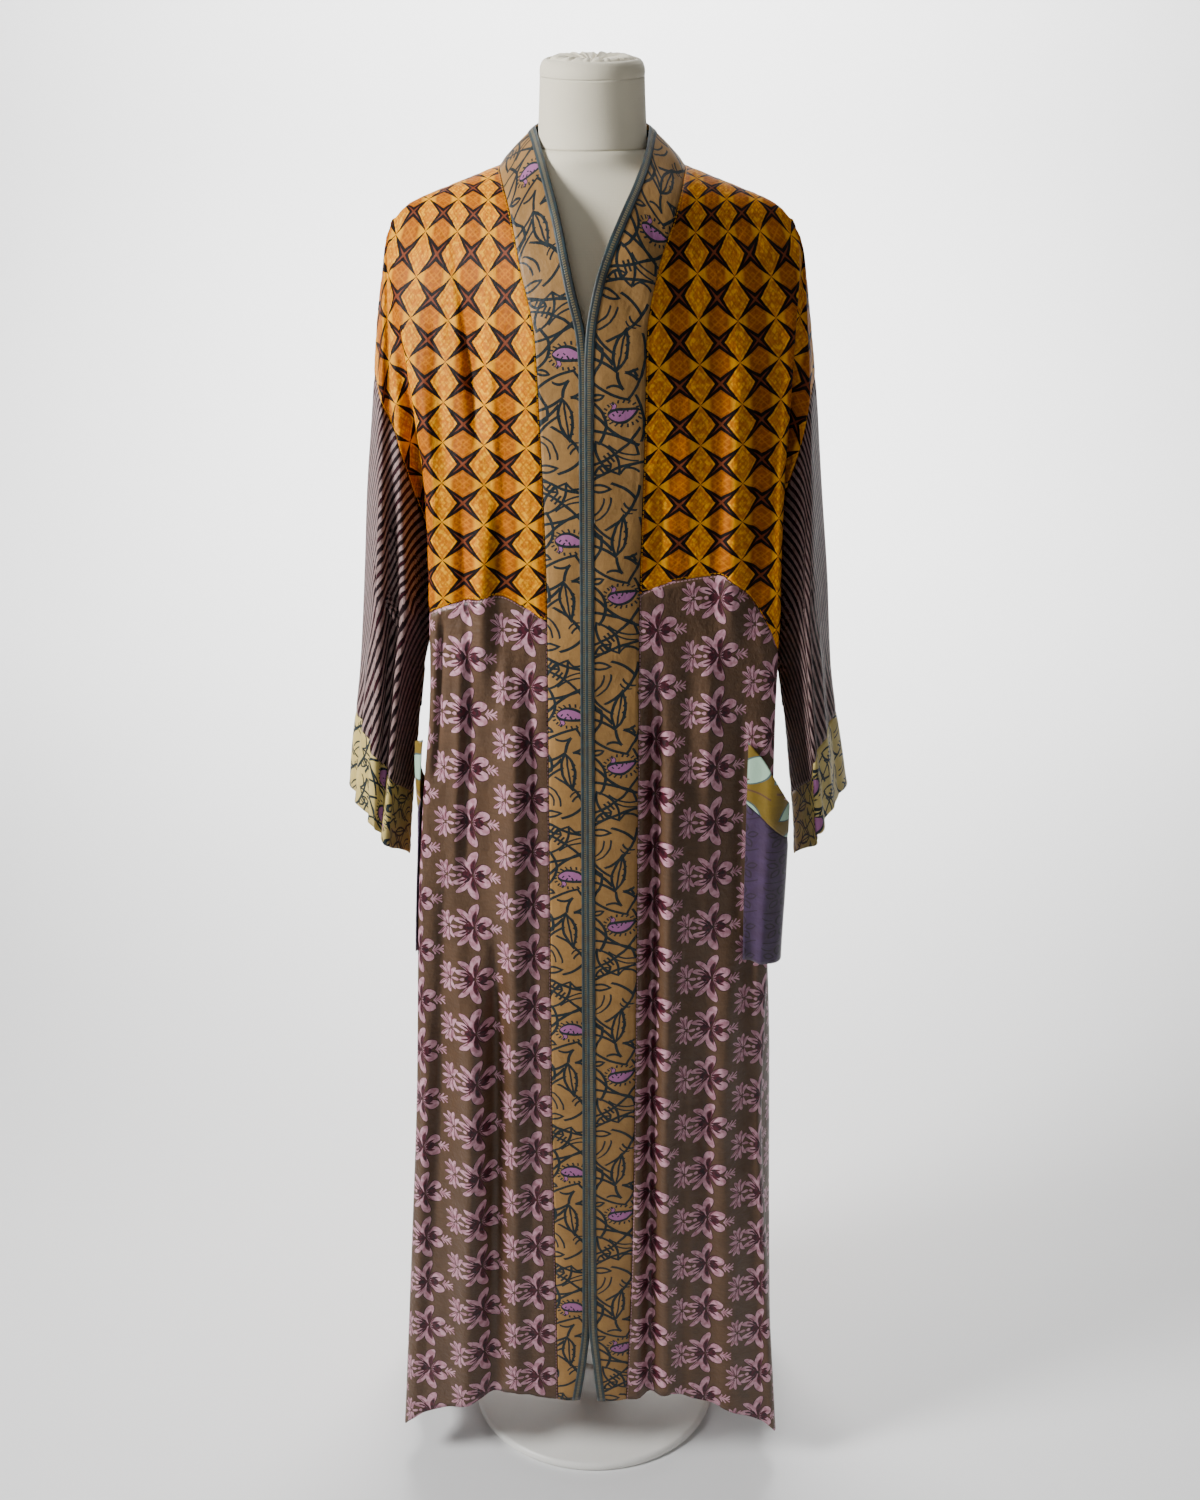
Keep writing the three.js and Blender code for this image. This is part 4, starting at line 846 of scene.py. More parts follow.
# ---- neckband, edging and pockets ----
BAND_ROWS = 230
BAND_NECK_ROWS = 34
BAND_ACROSS = 14
BAND_CREASE_SHARE = 0.6     # share of the front's creases that its neckband follows
BAND_ROUND = 1.4            # how far the band's middle stands up between its edges
BAND_WAVE_EDGE = 0.35       # share of a wave left at the band's edges
BAND_LAY = 0.2
BAND_SEAM = 3               # distance from the seam over which the band rises off it
BAND_THICK = 0.9            # the band's shell as a share of its wall
BAND_WAVES = table(("side", "at", "wide", "out", "lean"), (
    (-1, 62, 14, 1.6, 20), (-1, 118, 20, -1.8, 34), (-1, 196, 16, 1.5, -18), (-1, 262, 26, -1.6, 30),
    (-1, 355, 22, 1.9, 24), (-1, 470, 30, -1.5, -30), (-1, 590, 26, 1.6, 22), (-1, 742, 34, -1.7, 36),
    (-1, 905, 26, 1.4, -26), (-1, 1060, 40, -1.8, 20), (-1, 1230, 30, 2.0, 24),
    (1, 48, 16, -1.6, 26), (1, 132, 18, 2.2, -34), (1, 176, 12, -2.2, -30), (1, 248, 22, 1.6, 22),
    (1, 330, 18, -1.8, -24), (1, 432, 30, 1.7, 30), (1, 556, 22, -1.6, 26), (1, 680, 34, 1.6, -30),
    (1, 846, 28, -1.9, 24), (1, 990, 36, 1.6, 28), (1, 1150, 26, -1.7, -22), (1, 1290, 30, 1.8, 26),
))


def band_surface(side, grid_w):
    """Rows of the neckband from the hem up and round the neck, with the cloth place of each row."""
    end = hem_at(BAND_COLUMN)
    t = np.linspace(end, 0, BAND_ROWS + 1)
    seam, _ = garment(side, FRONT, front_edge(side, t), t, "body", BAND_CREASE_SHARE)
    z = seam[:, 2]
    inner = np.stack([
        side * read(BAND[side], "z", "x", z), -read(BAND[side], "z", "f", z),
        z + read(BAND[side], "z", "rise", z),
    ], axis=-1)
    turn = math.pi / 2 * np.linspace(0, 1, BAND_NECK_ROWS + 1)[1:]
    c, d = np.cos(turn), np.sin(turn)
    nape, _ = garment(side, BACK, NECK_HALF * c, BACK_NECK_DROP * d, "body", BAND_CREASE_SHARE)
    top = np.stack([
        side * BACK_NECK["x"] * c, BACK_NECK["reach"] * d - BACK_NECK["f"],
        BACK_NECK["z"] + BACK_NECK["rise"] * d,
    ], axis=-1)
    seam, inner = np.vstack([seam, nape]), np.vstack([inner, top])
    middle = (seam + inner) / 2
    step = np.linalg.norm(np.diff(middle, axis=0), axis=1)
    run = np.concatenate([[0], np.cumsum(step)])
    run = run[BAND_ROWS] - run          # below zero round the back of the neck
    across = np.linalg.norm(inner - seam, axis=1)
    points = mix(seam[:, None, :], inner[:, None, :], grid_w[..., None])
    return points, run[:, None] + 0 * grid_w, across[:, None] * (1 - grid_w)


def band_lift(side, run, w, depth):
    """The band is a little round across, and waves where it eases round the neck and chest."""
    out = BAND_ROUND * (1 - (2 * w - 1) ** 2)
    inside = mix(BAND_WAVE_EDGE, 1, np.sin(math.pi * w))
    for row in rows_of(BAND_WAVES, side=side):
        place = row["at"] + row["lean"] * (w - 0.5)
        across = np.exp(-(((run - place) / row["wide"]) ** 2))
        out = out + row["out"] * across * inside * depth
    return out


def build_band(side, sizes):
    w = np.linspace(0, 1, BAND_ACROSS + 1)[None, :] + np.zeros((BAND_ROWS + BAND_NECK_ROWS + 1, 1))
    points, run, from_edge = band_surface(side, w)
    normals = facing_out(points)
    along, near = run, from_edge[:, :1] - from_edge
    lift = band_lift(side, run, w, sizes.crease_depth) + draw_in(near, along, sizes.seam_depth)
    points = points + normals * (lift * np.clip(near / BAND_SEAM, 0, 1) + BAND_LAY)[..., None]
    profile = np.ones(BAND_ACROSS + 1)
    profile[:2] = EDGE_PROFILE
    profile[-2:] = EDGE_PROFILE[::-1]
    thick = BAND_WALL * BAND_THICK * profile[None, :]
    return points, normals, thick, (from_edge, -run), (along, near), flat_size(from_edge, run)


TAPE_ACROSS = 6
TAPE_PAST = 0.6             # the tape laps this far over the band's edge
TAPE_LAY = 0.35             # and stands this far off the band's face
TAPE_PUCKER = 0.25
TAPE_PUCKER_RATE = 1.7
TAPE_THICK = 0.7
TAPE_PROFILE = (0.4, 1, 1.1, 1.1, 1.1, 1, 0.4)


def build_tape(side, sizes):
    rows = BAND_ROWS + BAND_NECK_ROWS + 1
    w = np.ones((rows, 2)) * [[0, 1]]
    ends = band_surface(side, w)[0]
    wide = np.linalg.norm(ends[:, 1] - ends[:, 0], axis=1)[:, None]
    k = np.linspace(0, 1, TAPE_ACROSS + 1)[None, :]
    w = mix(1 - sizes.tape / MM / wide, 1 + TAPE_PAST / wide, k)
    points, run, _ = band_surface(side, w)
    normals = facing_out(points)
    lift = band_lift(side, run, np.clip(w, 0, 1), sizes.crease_depth) + BAND_LAY
    lift = lift + BAND_WALL * BAND_THICK / 2 + TAPE_LAY + TAPE_PUCKER * pucker(run * TAPE_PUCKER_RATE)
    points = points + normals * lift[..., None]
    thick = TAPE_THICK * np.array(TAPE_PROFILE)[None, :]
    across = sizes.tape / MM * k + 0 * run
    return points, normals, thick, (across, -run), (run, across), flat_size(across, run)


POCKET_ACROSS = 44
POCKET_DOWN = {"facing": 20, "bag": 40}
POCKET_FOLD_FOOT = 0.4      # share of a pocket's folds left where it lies closest
FACING_TOP = 1.8            # the facing's turned top is this many times as thick
POCKET_FOLDS = table(("side", "at", "lean", "width", "out"), (
    (1, 196, -0.05, 7, 2.4), (1, 214, 0.05, 6, -2.2), (1, 232, 0.1, 8, 2.6), (1, 252, 0.05, 6, -2.0),
    (1, 276, 0.0, 8, 2.0), (-1, 230, 0.05, 8, 2.0), (-1, 254, 0.0, 7, -2.0), (-1, 288, 0.05, 9, 2.2),
))


def build_pocket(side, part, sizes):
    """The facing of a pocket's opening, or the bag below it, standing off the panel."""
    rows = POCKET[side]
    top, foot = ("top", "seam") if part == "facing" else ("seam", "foot")
    s = np.linspace(rows["at"][0], rows["at"][-1], POCKET_ACROSS + 1)[None, :]
    k = np.linspace(0, 1, POCKET_DOWN[part] + 1)[:, None]
    z = mix(read(rows, "at", top, s), read(rows, "at", foot, s), k)
    s = s + 0 * z
    t = down_to(FRONT, s, z)
    points, true = garment(side, FRONT, s, t, "body", sizes.crease_depth)
    calm, _ = garment(side, FRONT, s, t, "body", 0)
    normals = facing_out(calm)
    high, low = read(rows, "at", "top", s), read(rows, "at", "foot", s)
    settle = ease((z - low) / (high - low)) ** POCKET_SETTLE_POWER[side]
    lift = POCKET_LAY + read(rows, "at", "off", s) * mix(POCKET_SETTLE[side], 1, settle)
    for row in rows_of(POCKET_FOLDS, side=side):
        place = row["at"] + row["lean"] * (high - z)
        swell = np.exp(-(((s - place) / row["width"]) ** 2)) * mix(POCKET_FOLD_FOOT, 1, settle)
        lift = lift + row["out"] * swell * sizes.crease_depth
    seam_edge = np.abs(z - read(rows, "at", "seam", s))
    along, near = seam_map(s, t, [(seam_edge, s)])
    lift = lift + draw_in(near, along, sizes.seam_depth)
    points = points + normals * lift[..., None]
    thick = sizes.silk / MM
    if part == "facing":
        thick = thick * np.where(k < 0.1, FACING_TOP, 1)
    return points, normals, thick, (side * true[0], -true[1]), (along, near), flat_size(*true)


# ---- dress form and stand ----
RING_SIDES = 120
TORSO_STEP = 6
CLEAR_OF_CLOTH = 13
OPEN_ROOM = 60
OPEN_FROM = 1240


def ring(rx, front, back):
    """Rounded plan ring of the dress form."""
    turn = np.linspace(0, 2 * math.pi, RING_SIDES, endpoint=False)

    def root(value):
        return np.sign(value) * np.abs(value) ** (2 / RING_POWER)

    y = root(np.sin(turn))
    return rx * root(np.cos(turn)), y * np.where(y < 0, front, back)


def cloth_over(side, face, x, z):
    """How far forward the cloth hangs over a place inside the shoulder tips."""
    depth = TIP_Z - z
    first = read(PLAN[side], "depth", "edgeX", depth) if face > 0 else 0
    k = np.clip((x - first) / (read(PLAN[side], "depth", "bodyX", depth) - first), 0, 1)
    s = mix(first, TIP_S, k)
    if face > 0:
        start = read(PLAN[side], "depth", "edgeF", depth)
        end = read(PLAN[side], "depth", "bodyF", depth)
    else:
        start = read(BACK_PLAN, "depth", "centre", depth)
        end = read(BACK_PLAN, "depth", "corner", depth)
    roll = np.maximum(roll_of(face) * inward(s), 1)
    turn = 1 - np.maximum(0, shoulder_z(s) - z) / roll
    over = mix(start, end, k) * np.sin(np.arccos(np.clip(turn, 0, 1)))
    over = over + OPEN_ROOM * ease((first - x) / OPEN_ROOM) * ease((z - OPEN_FROM) / OPEN_ROOM)
    return np.where(z > NECK_Z - NECK_ROOM, 1e3, over)


def torso_rings():
    foot, top = TORSO["z"].min(), TORSO["z"].max()
    heights = np.unique(np.concatenate([np.arange(foot, top, TORSO_STEP), TORSO["z"].astype(float)]))
    rings = []
    for z in heights:
        sizes = [float(read(TORSO, "z", name, z)) for name in ("x", "front", "back")]
        x, y = ring(*sizes)
        over = np.full_like(x, 1e3)
        for side in (-1, 1):
            for face in (FRONT, BACK):
                here = (y < 0) == (face > 0)
                reach = cloth_over(side, face, np.abs(x), np.full_like(x, z))
                over = np.where(here, np.minimum(over, reach), over)
        room = np.maximum(over - CLEAR_OF_CLOTH, over * FORM_SHARE)
        rings.append(np.stack([x, np.sign(y) * np.minimum(np.abs(y), room), z + 0 * x], axis=-1))
    return np.array(rings)


def neck_ring(row, wide, up, gather=0.0, sides=RING_SIDES):
    """An oval of the neck, tipped forward, its cloth drawn up in gathers."""
    turn = np.linspace(0, 2 * math.pi, sides, endpoint=False)
    y = row["deep"] * wide * np.sin(turn)
    pleats = np.cos(23 * turn + 2.2 * wide) + 0.7 * np.cos(14 * turn + 1.1) + 0.5 * np.cos(37 * turn)
    up = up + gather * pleats / 1.4
    tilt = math.radians(row["tilt"])
    return np.stack([
        row["x"] * wide * np.cos(turn),
        row["y"] + y * math.cos(tilt) - up * math.sin(tilt),
        row["z"] + y * math.sin(tilt) + up * math.cos(tilt),
    ], axis=-1)


def neck_rings():
    rings = []
    for z in np.linspace(NECK["z"][0], NECK["z"][-1], 28):
        row = {name: float(read(NECK, "z", name, z)) for name in ("y", "x", "deep", "tilt")}
        row["z"] = float(z)
        rings.append(neck_ring(row, 1, 0))
    return np.array(rings)


def cap_rings():
    top = {name: float(NECK[name][-1]) for name in ("y", "x", "deep", "tilt", "z")}
    rows = np.stack([CAP["wide"], CAP["up"], CAP["gather"]], axis=-1)
    rings = [neck_ring(top, *rows[0], CAP_SIDES)]
    for here, there in zip(rows[:-1], rows[1:]):
        rings += [neck_ring(top, *mix(here, there, k), CAP_SIDES) for k in (0.34, 0.67, 1)]
    return np.array(rings)


def loft(name, rings):
    """A closed solid through rings of points."""
    count, sides = rings.shape[:2]
    index = np.arange(count * sides).reshape(count, sides)
    after = np.roll(index, -1, axis=1)
    quads = np.stack([index[:-1], after[:-1], after[1:], index[1:]], axis=-1).reshape(-1, 4)
    faces = quads.tolist() + [index[0][::-1].tolist(), index[-1].tolist()]
    mesh = bpy.data.meshes.new(name)
    mesh.from_pydata((rings.reshape(-1, 3) * MM).tolist(), [], faces)
    mesh.polygons.foreach_set("use_smooth", [True] * (len(faces) - 2) + [False] * 2)
    mesh.update()
    piece = bpy.data.objects.new(name, mesh)
    bpy.context.scene.collection.objects.link(piece)
    return piece


TURNED_SIDES = 128


def turned(name, profile):
    """A turned solid from a profile of radius and height, from its foot up."""
    turn = np.linspace(0, 2 * math.pi, TURNED_SIDES, endpoint=False)
    rings = [np.stack([r * np.cos(turn), r * np.sin(turn), z + 0 * turn], axis=-1) for r, z in profile]
    return loft(name, np.array(rings))


def rounded_edge(radius, height, bevel, start, end, steps=6):
    """Points of a profile round an edge's bevel, between two angles in degrees."""
    turn = np.radians(np.linspace(start, end, steps + 1))
    return [(radius + bevel * math.cos(a), height + bevel * math.sin(a)) for a in turn]


# ---- prints ----
def srgb(r, g, b):
    """A colour on the screen's scale of 0 to 255, as the shader takes it."""
    return tuple(
        c / 12.92 if c <= 0.04045 else ((c + 0.055) / 1.055) ** 2.4 for c in (r / 255, g / 255, b / 255)
    )


class Field:
    """A number that varies over the cloth: a node's output, with arithmetic."""

    def __init__(self, dye, socket):
        self.dye = dye
        self.socket = socket

    def __add__(self, other):
        return self.dye.math("ADD", self, other)

    def __sub__(self, other):
        return self.dye.math("SUBTRACT", self, other)

    def __rsub__(self, other):
        return self.dye.math("SUBTRACT", other, self)

    def __mul__(self, other):
        return self.dye.math("MULTIPLY", self, other)

    def __pow__(self, other):
        return self.dye.math("POWER", self, other)

    __radd__ = __add__
    __rmul__ = __mul__


STITCH = 4.0            # from stitch to stitch along a seam
STITCH_GAP = 1.3


class Dye:
    """A material under way. Flat sizes are millimetres of cloth."""

    def __init__(self, name):
        self.material = bpy.data.materials.new(name)
        self.material.use_nodes = True
        self.tree = self.material.node_tree
        self.tree.nodes.clear()

    def feed(self, socket, value):
        if isinstance(value, Field):
            self.tree.links.new(value.socket, socket)
        elif isinstance(value, bpy.types.NodeSocket):
            self.tree.links.new(value, socket)
        elif socket.type == "RGBA":
            socket.default_value = (*value[:3], 1)
        else:
            socket.default_value = value

    def node(self, kind, inputs=None, **settings):
        node = self.tree.nodes.new(kind)
        for key, value in settings.items():
            setattr(node, key, value)
        for key, value in (inputs or {}).items():
            self.feed(node.inputs[key], value)
        return node

    def math(self, operation, *values, clamp=False):
        node = self.node("ShaderNodeMath", operation=operation, use_clamp=clamp)
        for socket, value in zip(node.inputs, values):
            self.feed(socket, value)
        return Field(self, node.outputs[0])

    def highest(self, fields):
        fields = list(fields)
        total = fields[0]
        for other in fields[1:]:
            total = self.math("MAXIMUM", total, other)
        return total

    def above(self, field, level=0.0):
        return self.math("GREATER_THAN", field, level)

    def ramp(self, field, low, high):
        """0 up to low and 1 from high, smooth between them."""
        node = self.node("ShaderNodeMapRange", {"Value": field, "From Min": low, "From Max": high},
                         interpolation_type="SMOOTHSTEP")
        return Field(self, node.outputs[0])

    def wrap(self, field, low, high):
        return self.math("WRAP", field, high, low)

    def mix(self, share, a, b):
        node = self.node("ShaderNodeMix", data_type="RGBA")
        self.feed(node.inputs["Factor"], share)
        self.feed([i for i in node.inputs if i.name == "A" and i.type == "RGBA"][0], a)
        self.feed([i for i in node.inputs if i.name == "B" and i.type == "RGBA"][0], b)
        return [o for o in node.outputs if o.type == "RGBA"][0]

    def parts(self, vector):
        split = self.node("ShaderNodeSeparateXYZ", {"Vector": vector})
        return [Field(self, part) for part in split.outputs]

    def flat(self, name):
        """Across and down a flat map, in millimetres."""
        x, y, _ = self.parts(self.node("ShaderNodeUVMap", uv_map=name).outputs[0])
        return x * 1000, y * 1000

    def stitches(self, inner, outer):
        """1 on the stitches of a seam, which lie between two distances from it."""
        along, near = self.flat("seam")
        dash = self.above(self.wrap(along, 0.0, STITCH), STITCH_GAP)
        return dash * self.above(near, inner) * (1 - self.above(near, outer))

    def in_space(self):
        """A point's own place in space, in millimetres."""
        place = self.node("ShaderNodeTexCoord").outputs["Object"]
        scaled = self.node("ShaderNodeMapping", {"Vector": place, "Scale": (1000, 1000, 1000)})
        return scaled.outputs[0]

    def vector(self, x, y, z=0.0):
        return self.node("ShaderNodeCombineXYZ", {"X": x, "Y": y, "Z": z}).outputs[0]

    def noise(self, place, size, detail=2.0, rough=0.5, stretch=(1, 1, 1)):
        """Cloudy unevenness between about 0 and 1, with lumps of a size in millimetres."""
        scaled = self.node("ShaderNodeMapping", {"Vector": place, "Scale": stretch})
        node = self.node("ShaderNodeTexNoise", {
            "Vector": scaled.outputs[0], "Scale": 1 / size, "Detail": detail, "Roughness": rough,
        })
        return Field(self, node.outputs[0])

    def shape(self, place, kind, x0, y0, x1, y1, width, bend=0.0, taper=0.0, line_width=1.6):
        """Above zero inside one drawn shape from (x0, y0) to (x1, y1)."""
        length = math.hypot(x1 - x0, y1 - y0)
        own = self.node("ShaderNodeMapping", {
            "Vector": place,
            "Location": ((x0 + x1) / 2, (y0 + y1) / 2, 0),
            "Rotation": (0, 0, math.atan2(y1 - y0, x1 - x0)),
            "Scale": (length / 2, width / 2, 1),
        }, vector_type="TEXTURE")
        u, v, _ = self.parts(own.outputs[0])
        rise = self.math("MAXIMUM", 1 - u * u, 0.0)
        if bend:
            v = v + rise * (bend * 2 / width)
        off = self.math("ABSOLUTE", v)
        if kind == "stroke":
            ends = (1 - self.math("ABSOLUTE", u)) * (length / width)
            return self.math("MINIMUM", 1 - off, ends)
        if kind == "petal":             # blunt, broad near its far end
            rise = self.math("POWER", rise * self.math("MAXIMUM", u * 0.6 + 0.85, 0.0), 0.5)
        elif taper:
            rise = rise * self.math("MAXIMUM", u * taper + 1, 0.0)
        body = rise - off
        if kind == "ring":
            line = 2 * line_width / width
            return self.math("MINIMUM", body, line - body)
        return body

    def drawn(self, place, rows, bold=1.0):
        """Above zero inside any of a chart's shapes, its lines drawn bolder."""
        shapes = []
        for kind, x0, y0, x1, y1, width, *rest in rows:
            bend, taper = (*rest, 0.0, 0.0)[:2]
            width = width * bold if kind == "stroke" else width
            shapes.append(self.shape(place, kind, x0, y0, x1, y1, width, bend, taper, 1.6 * bold))
        return self.highest(shapes)

    def crinkle(self, place, strength, sizes=(46.0, 15.0, 5.0)):
        """Fine creasing of pressed silk, as a normal."""
        long = self.noise(place, sizes[0], 2.0, 0.5, (1.0, 0.4, 1.0))
        middle = self.math("ABSOLUTE", self.noise(place, sizes[1], 3.0, 0.55, (1.0, 0.7, 1.0)) - 0.5)
        fine = self.noise(place, sizes[2], 2.0, 0.6)
        height = long * 1.0 - middle * 0.55 + fine * 0.1
        return self.node("ShaderNodeBump", {
            "Height": height, "Strength": strength, "Distance": 0.006,
        }).outputs[0]

    def finish(self, colour, roughness, normal=None, sheen=0.0, **inputs):
        shader = self.node("ShaderNodeBsdfPrincipled")
        self.feed(shader.inputs["Base Color"], colour)
        self.feed(shader.inputs["Roughness"], roughness)
        if normal is not None:
            self.feed(shader.inputs["Normal"], normal)
        if sheen:
            shader.inputs["Sheen Weight"].default_value = sheen
            shader.inputs["Sheen Roughness"].default_value = 0.45
        for key, value in inputs.items():
            shader.inputs[key.replace("_", " ")].default_value = value
        output = self.node("ShaderNodeOutputMaterial")
        self.tree.links.new(shader.outputs[0], output.inputs[0])
        return self.material


def weave_tone(dye, place, colour, depth=0.12):
    """Uneven dye and slubs of the yarn, over a colour."""
    cloud = dye.noise(place, 38.0, 3.0, 0.6)
    slub = dye.noise(place, 2.6, 1.0, 0.5, (0.25, 1.0, 1.0))
    tone = dye.ramp(cloud * 0.6 + slub * 0.4, 0.3, 0.7)
    dark = dye.mix(depth, colour, (0, 0, 0))
    return dye.mix(tone, dark, colour)


STAR_PITCH = (41, 36.5)
STAR_WAIST = 0.145      # how far the notches between a star's arms are from its middle
STAR_ARM = 1.0
HEART_WAIST = 0.042
HEART_ARM = 0.46


def star_print(colours):
    """Concave four-armed stars that touch tip to tip, with lozenges between them."""
    dye = Dye("amber_star_silk")
    x, y = dye.flat("cut")
    place = dye.vector(x, y)
    a = dye.wrap(x * (1 / STAR_PITCH[0]), -0.5, 0.5)
    b = dye.wrap(y * (1 / STAR_PITCH[1]), -0.5, 0.5)
    wobble = (dye.noise(place, 7.0) - 0.5) * 0.035
    p = dye.math("ABSOLUTE", a + b + wobble)
    q = dye.math("ABSOLUTE", a - b + wobble)

    def pointed(waist, arm):
        """Above zero inside a star with straight-sided tapering arms along both diagonals."""
        slope = waist / (arm - waist)
        return dye.math("MAXIMUM", (arm - p) * slope - q, (arm - q) * slope - p)

    star = pointed(STAR_WAIST, STAR_ARM)
    core = pointed(HEART_WAIST, HEART_ARM)
    across, down = dye.math("ABSOLUTE", a), dye.math("ABSOLUTE", b)
    sideways = dye.above(across - down)
    # lozenges: distance from the star's edge gives nested outlines, and a cross in the middle
    depth = star * -1
    nest = dye.math("PINGPONG", depth * 11.0, 1.0)
    from_side = 0.5 - across
    from_end = 0.5 - down
    cross_wide = dye.math("ABSOLUTE", dye.math("ABSOLUTE", from_side) * 1.15 - down)
    cross_tall = dye.math("ABSOLUTE", dye.math("ABSOLUTE", from_end) * 1.15 - across)
    mottle = dye.noise(place, 5.0, 2.0, 0.6)
    gold = dye.mix(dye.ramp(mottle, 0.42, 0.62), colours.amber, colours.gold)
    gold = dye.mix(dye.ramp(nest, 0.55, 0.8) * 0.55, gold, colours.orange)
    gold = dye.mix((1 - dye.ramp(cross_wide, 0.02, 0.05)) * 0.5, gold, colours.orange)
    tan = dye.mix(dye.ramp(mottle, 0.4, 0.6), colours.rust, colours.orange)
    tan = dye.mix(dye.ramp(nest, 0.6, 0.85) * 0.45, tan, colours.amber)
    rays = (1 - dye.ramp(cross_tall, 0.015, 0.045)) * 0.6
    tan = dye.mix(rays, tan, colours.amber)
    tip = dye.ramp(across, 0.2, 0.34) * (1 - sideways)
    tan = dye.mix(tip * 0.8, tan, colours.gold)
    ground = dye.mix(sideways, tan, gold)
    colour = dye.mix(dye.ramp(star, -0.012, 0.006), ground, colours.umber)
    colour = dye.mix(dye.ramp(core, -0.01, 0.01), colour, colours.ember)
    colour = weave_tone(dye, place, colour, 0.2)
    colour = dye.mix(dye.stitches(1.2, 2.3) * 0.55, colour, colours.gold)
    rough = dye.noise(place, 22.0) * 0.16 + 0.5
    return dye.finish(colour, rough, dye.crinkle(place, 0.6), Specular_IOR_Level=0.1)


# Charts give each drawn shape from its root to its tip: kind, x0, y0, x1, y1, width, bend, taper.
FLOWER_PITCH = 57
FLOWER_DROP = 56.6
FLOWER_FROM = -22
PALMETTE_FROM = -48
PALMETTE = (
    ("leaf", -35, 0, -24, 0, 5.0), ("petal", -26, 0.8, -34.5, 10.5, 4.2, 1.0),
    ("petal", -24.5, 1.0, -30.0, 15.5, 4.4, 0.8), ("petal", -23.5, 1.0, -23.5, 16.5, 4.6, -1.2),
    ("petal", -22, 0.8, -18.0, 12.0, 4.2, -1.6), ("petal", -23, 0, -15.0, 0, 4.2),
    ("petal", -14.6, 0, -10.0, 0, 4.6),
)
PALMETTE_VEINS = (
    ("stroke", -26.5, 2.4, -32.5, 8.6, 0.8), ("stroke", -25.0, 3.4, -28.8, 12.5, 0.8),
    ("stroke", -23.4, 3.6, -23.4, 12.8, 0.8),
)
FLOWER = (
    ("petal", -3.0, 1.0, -19.0, 8.6, 7.4, 1.8), ("petal", -2.0, 2.0, -15.5, 19.5, 7.2, 2.4),
    ("petal", 1.5, 0.4, 18.0, 9.4, 13.0, -1.2), ("petal", 0, 0.5, 5.0, 25.8, 11.0, -2.8),
    ("stroke", 16, 0, 27.5, 0, 1.6), ("stroke", 18.5, 0, 23.5, 5.6, 1.7, 0.5),
    ("stroke", 21.5, 0, 27.5, 4.2, 1.7, 0.4), ("stroke", 16.8, 0, 19.5, 5.0, 1.5, 0.4),
)
FLOWER_GAPS = (
    ("leaf", 1.0, 2.0, 3.6, 18.5, 5.4, -1.0), ("stroke", -5.5, 3.4, -13.5, 7.6, 1.1, 0.8),
    ("stroke", -4.5, 4.6, -11.6, 14.4, 1.1, 1.2), ("stroke", 2.5, 0.8, 9, 12.5, 1.2, -0.8),
)
FLOWER_HEARTS = (
    ("petal", 0.4, 1.0, 2.6, 16.0, 3.6, -0.8), ("petal", 3.2, 0, 12.6, 0, 8.6),
    ("petal", 1.2, 0, -9.6, 0, 8.6), ("leaf", -1.0, 1.0, -9.0, 9.5, 2.8, 0.8),
    ("leaf", 2.5, 1.4, 13.0, 6.6, 2.6, -0.6), ("leaf", -4.0, 2.6, -14.0, 7.2, 2.0, 1.2),
)


PETAL_OUTLINE = 0.16
PRINT_SHRINK = (0.93, 0.98)


def repeat(dye, x, y, start):
    """A wrapped frame of the flower print, its columns half a repeat apart, folded on its axis."""
    column = dye.math("FLOOR", (x - start) * (1 / FLOWER_PITCH))
    local_x = dye.wrap(x, start, start + FLOWER_PITCH)
    shift = dye.wrap(column, 0.0, 2.0) * (FLOWER_DROP / 2)
    local_y = dye.wrap(y + shift, -FLOWER_DROP / 2, FLOWER_DROP / 2)
    return dye.vector(local_x, dye.math("ABSOLUTE", local_y))


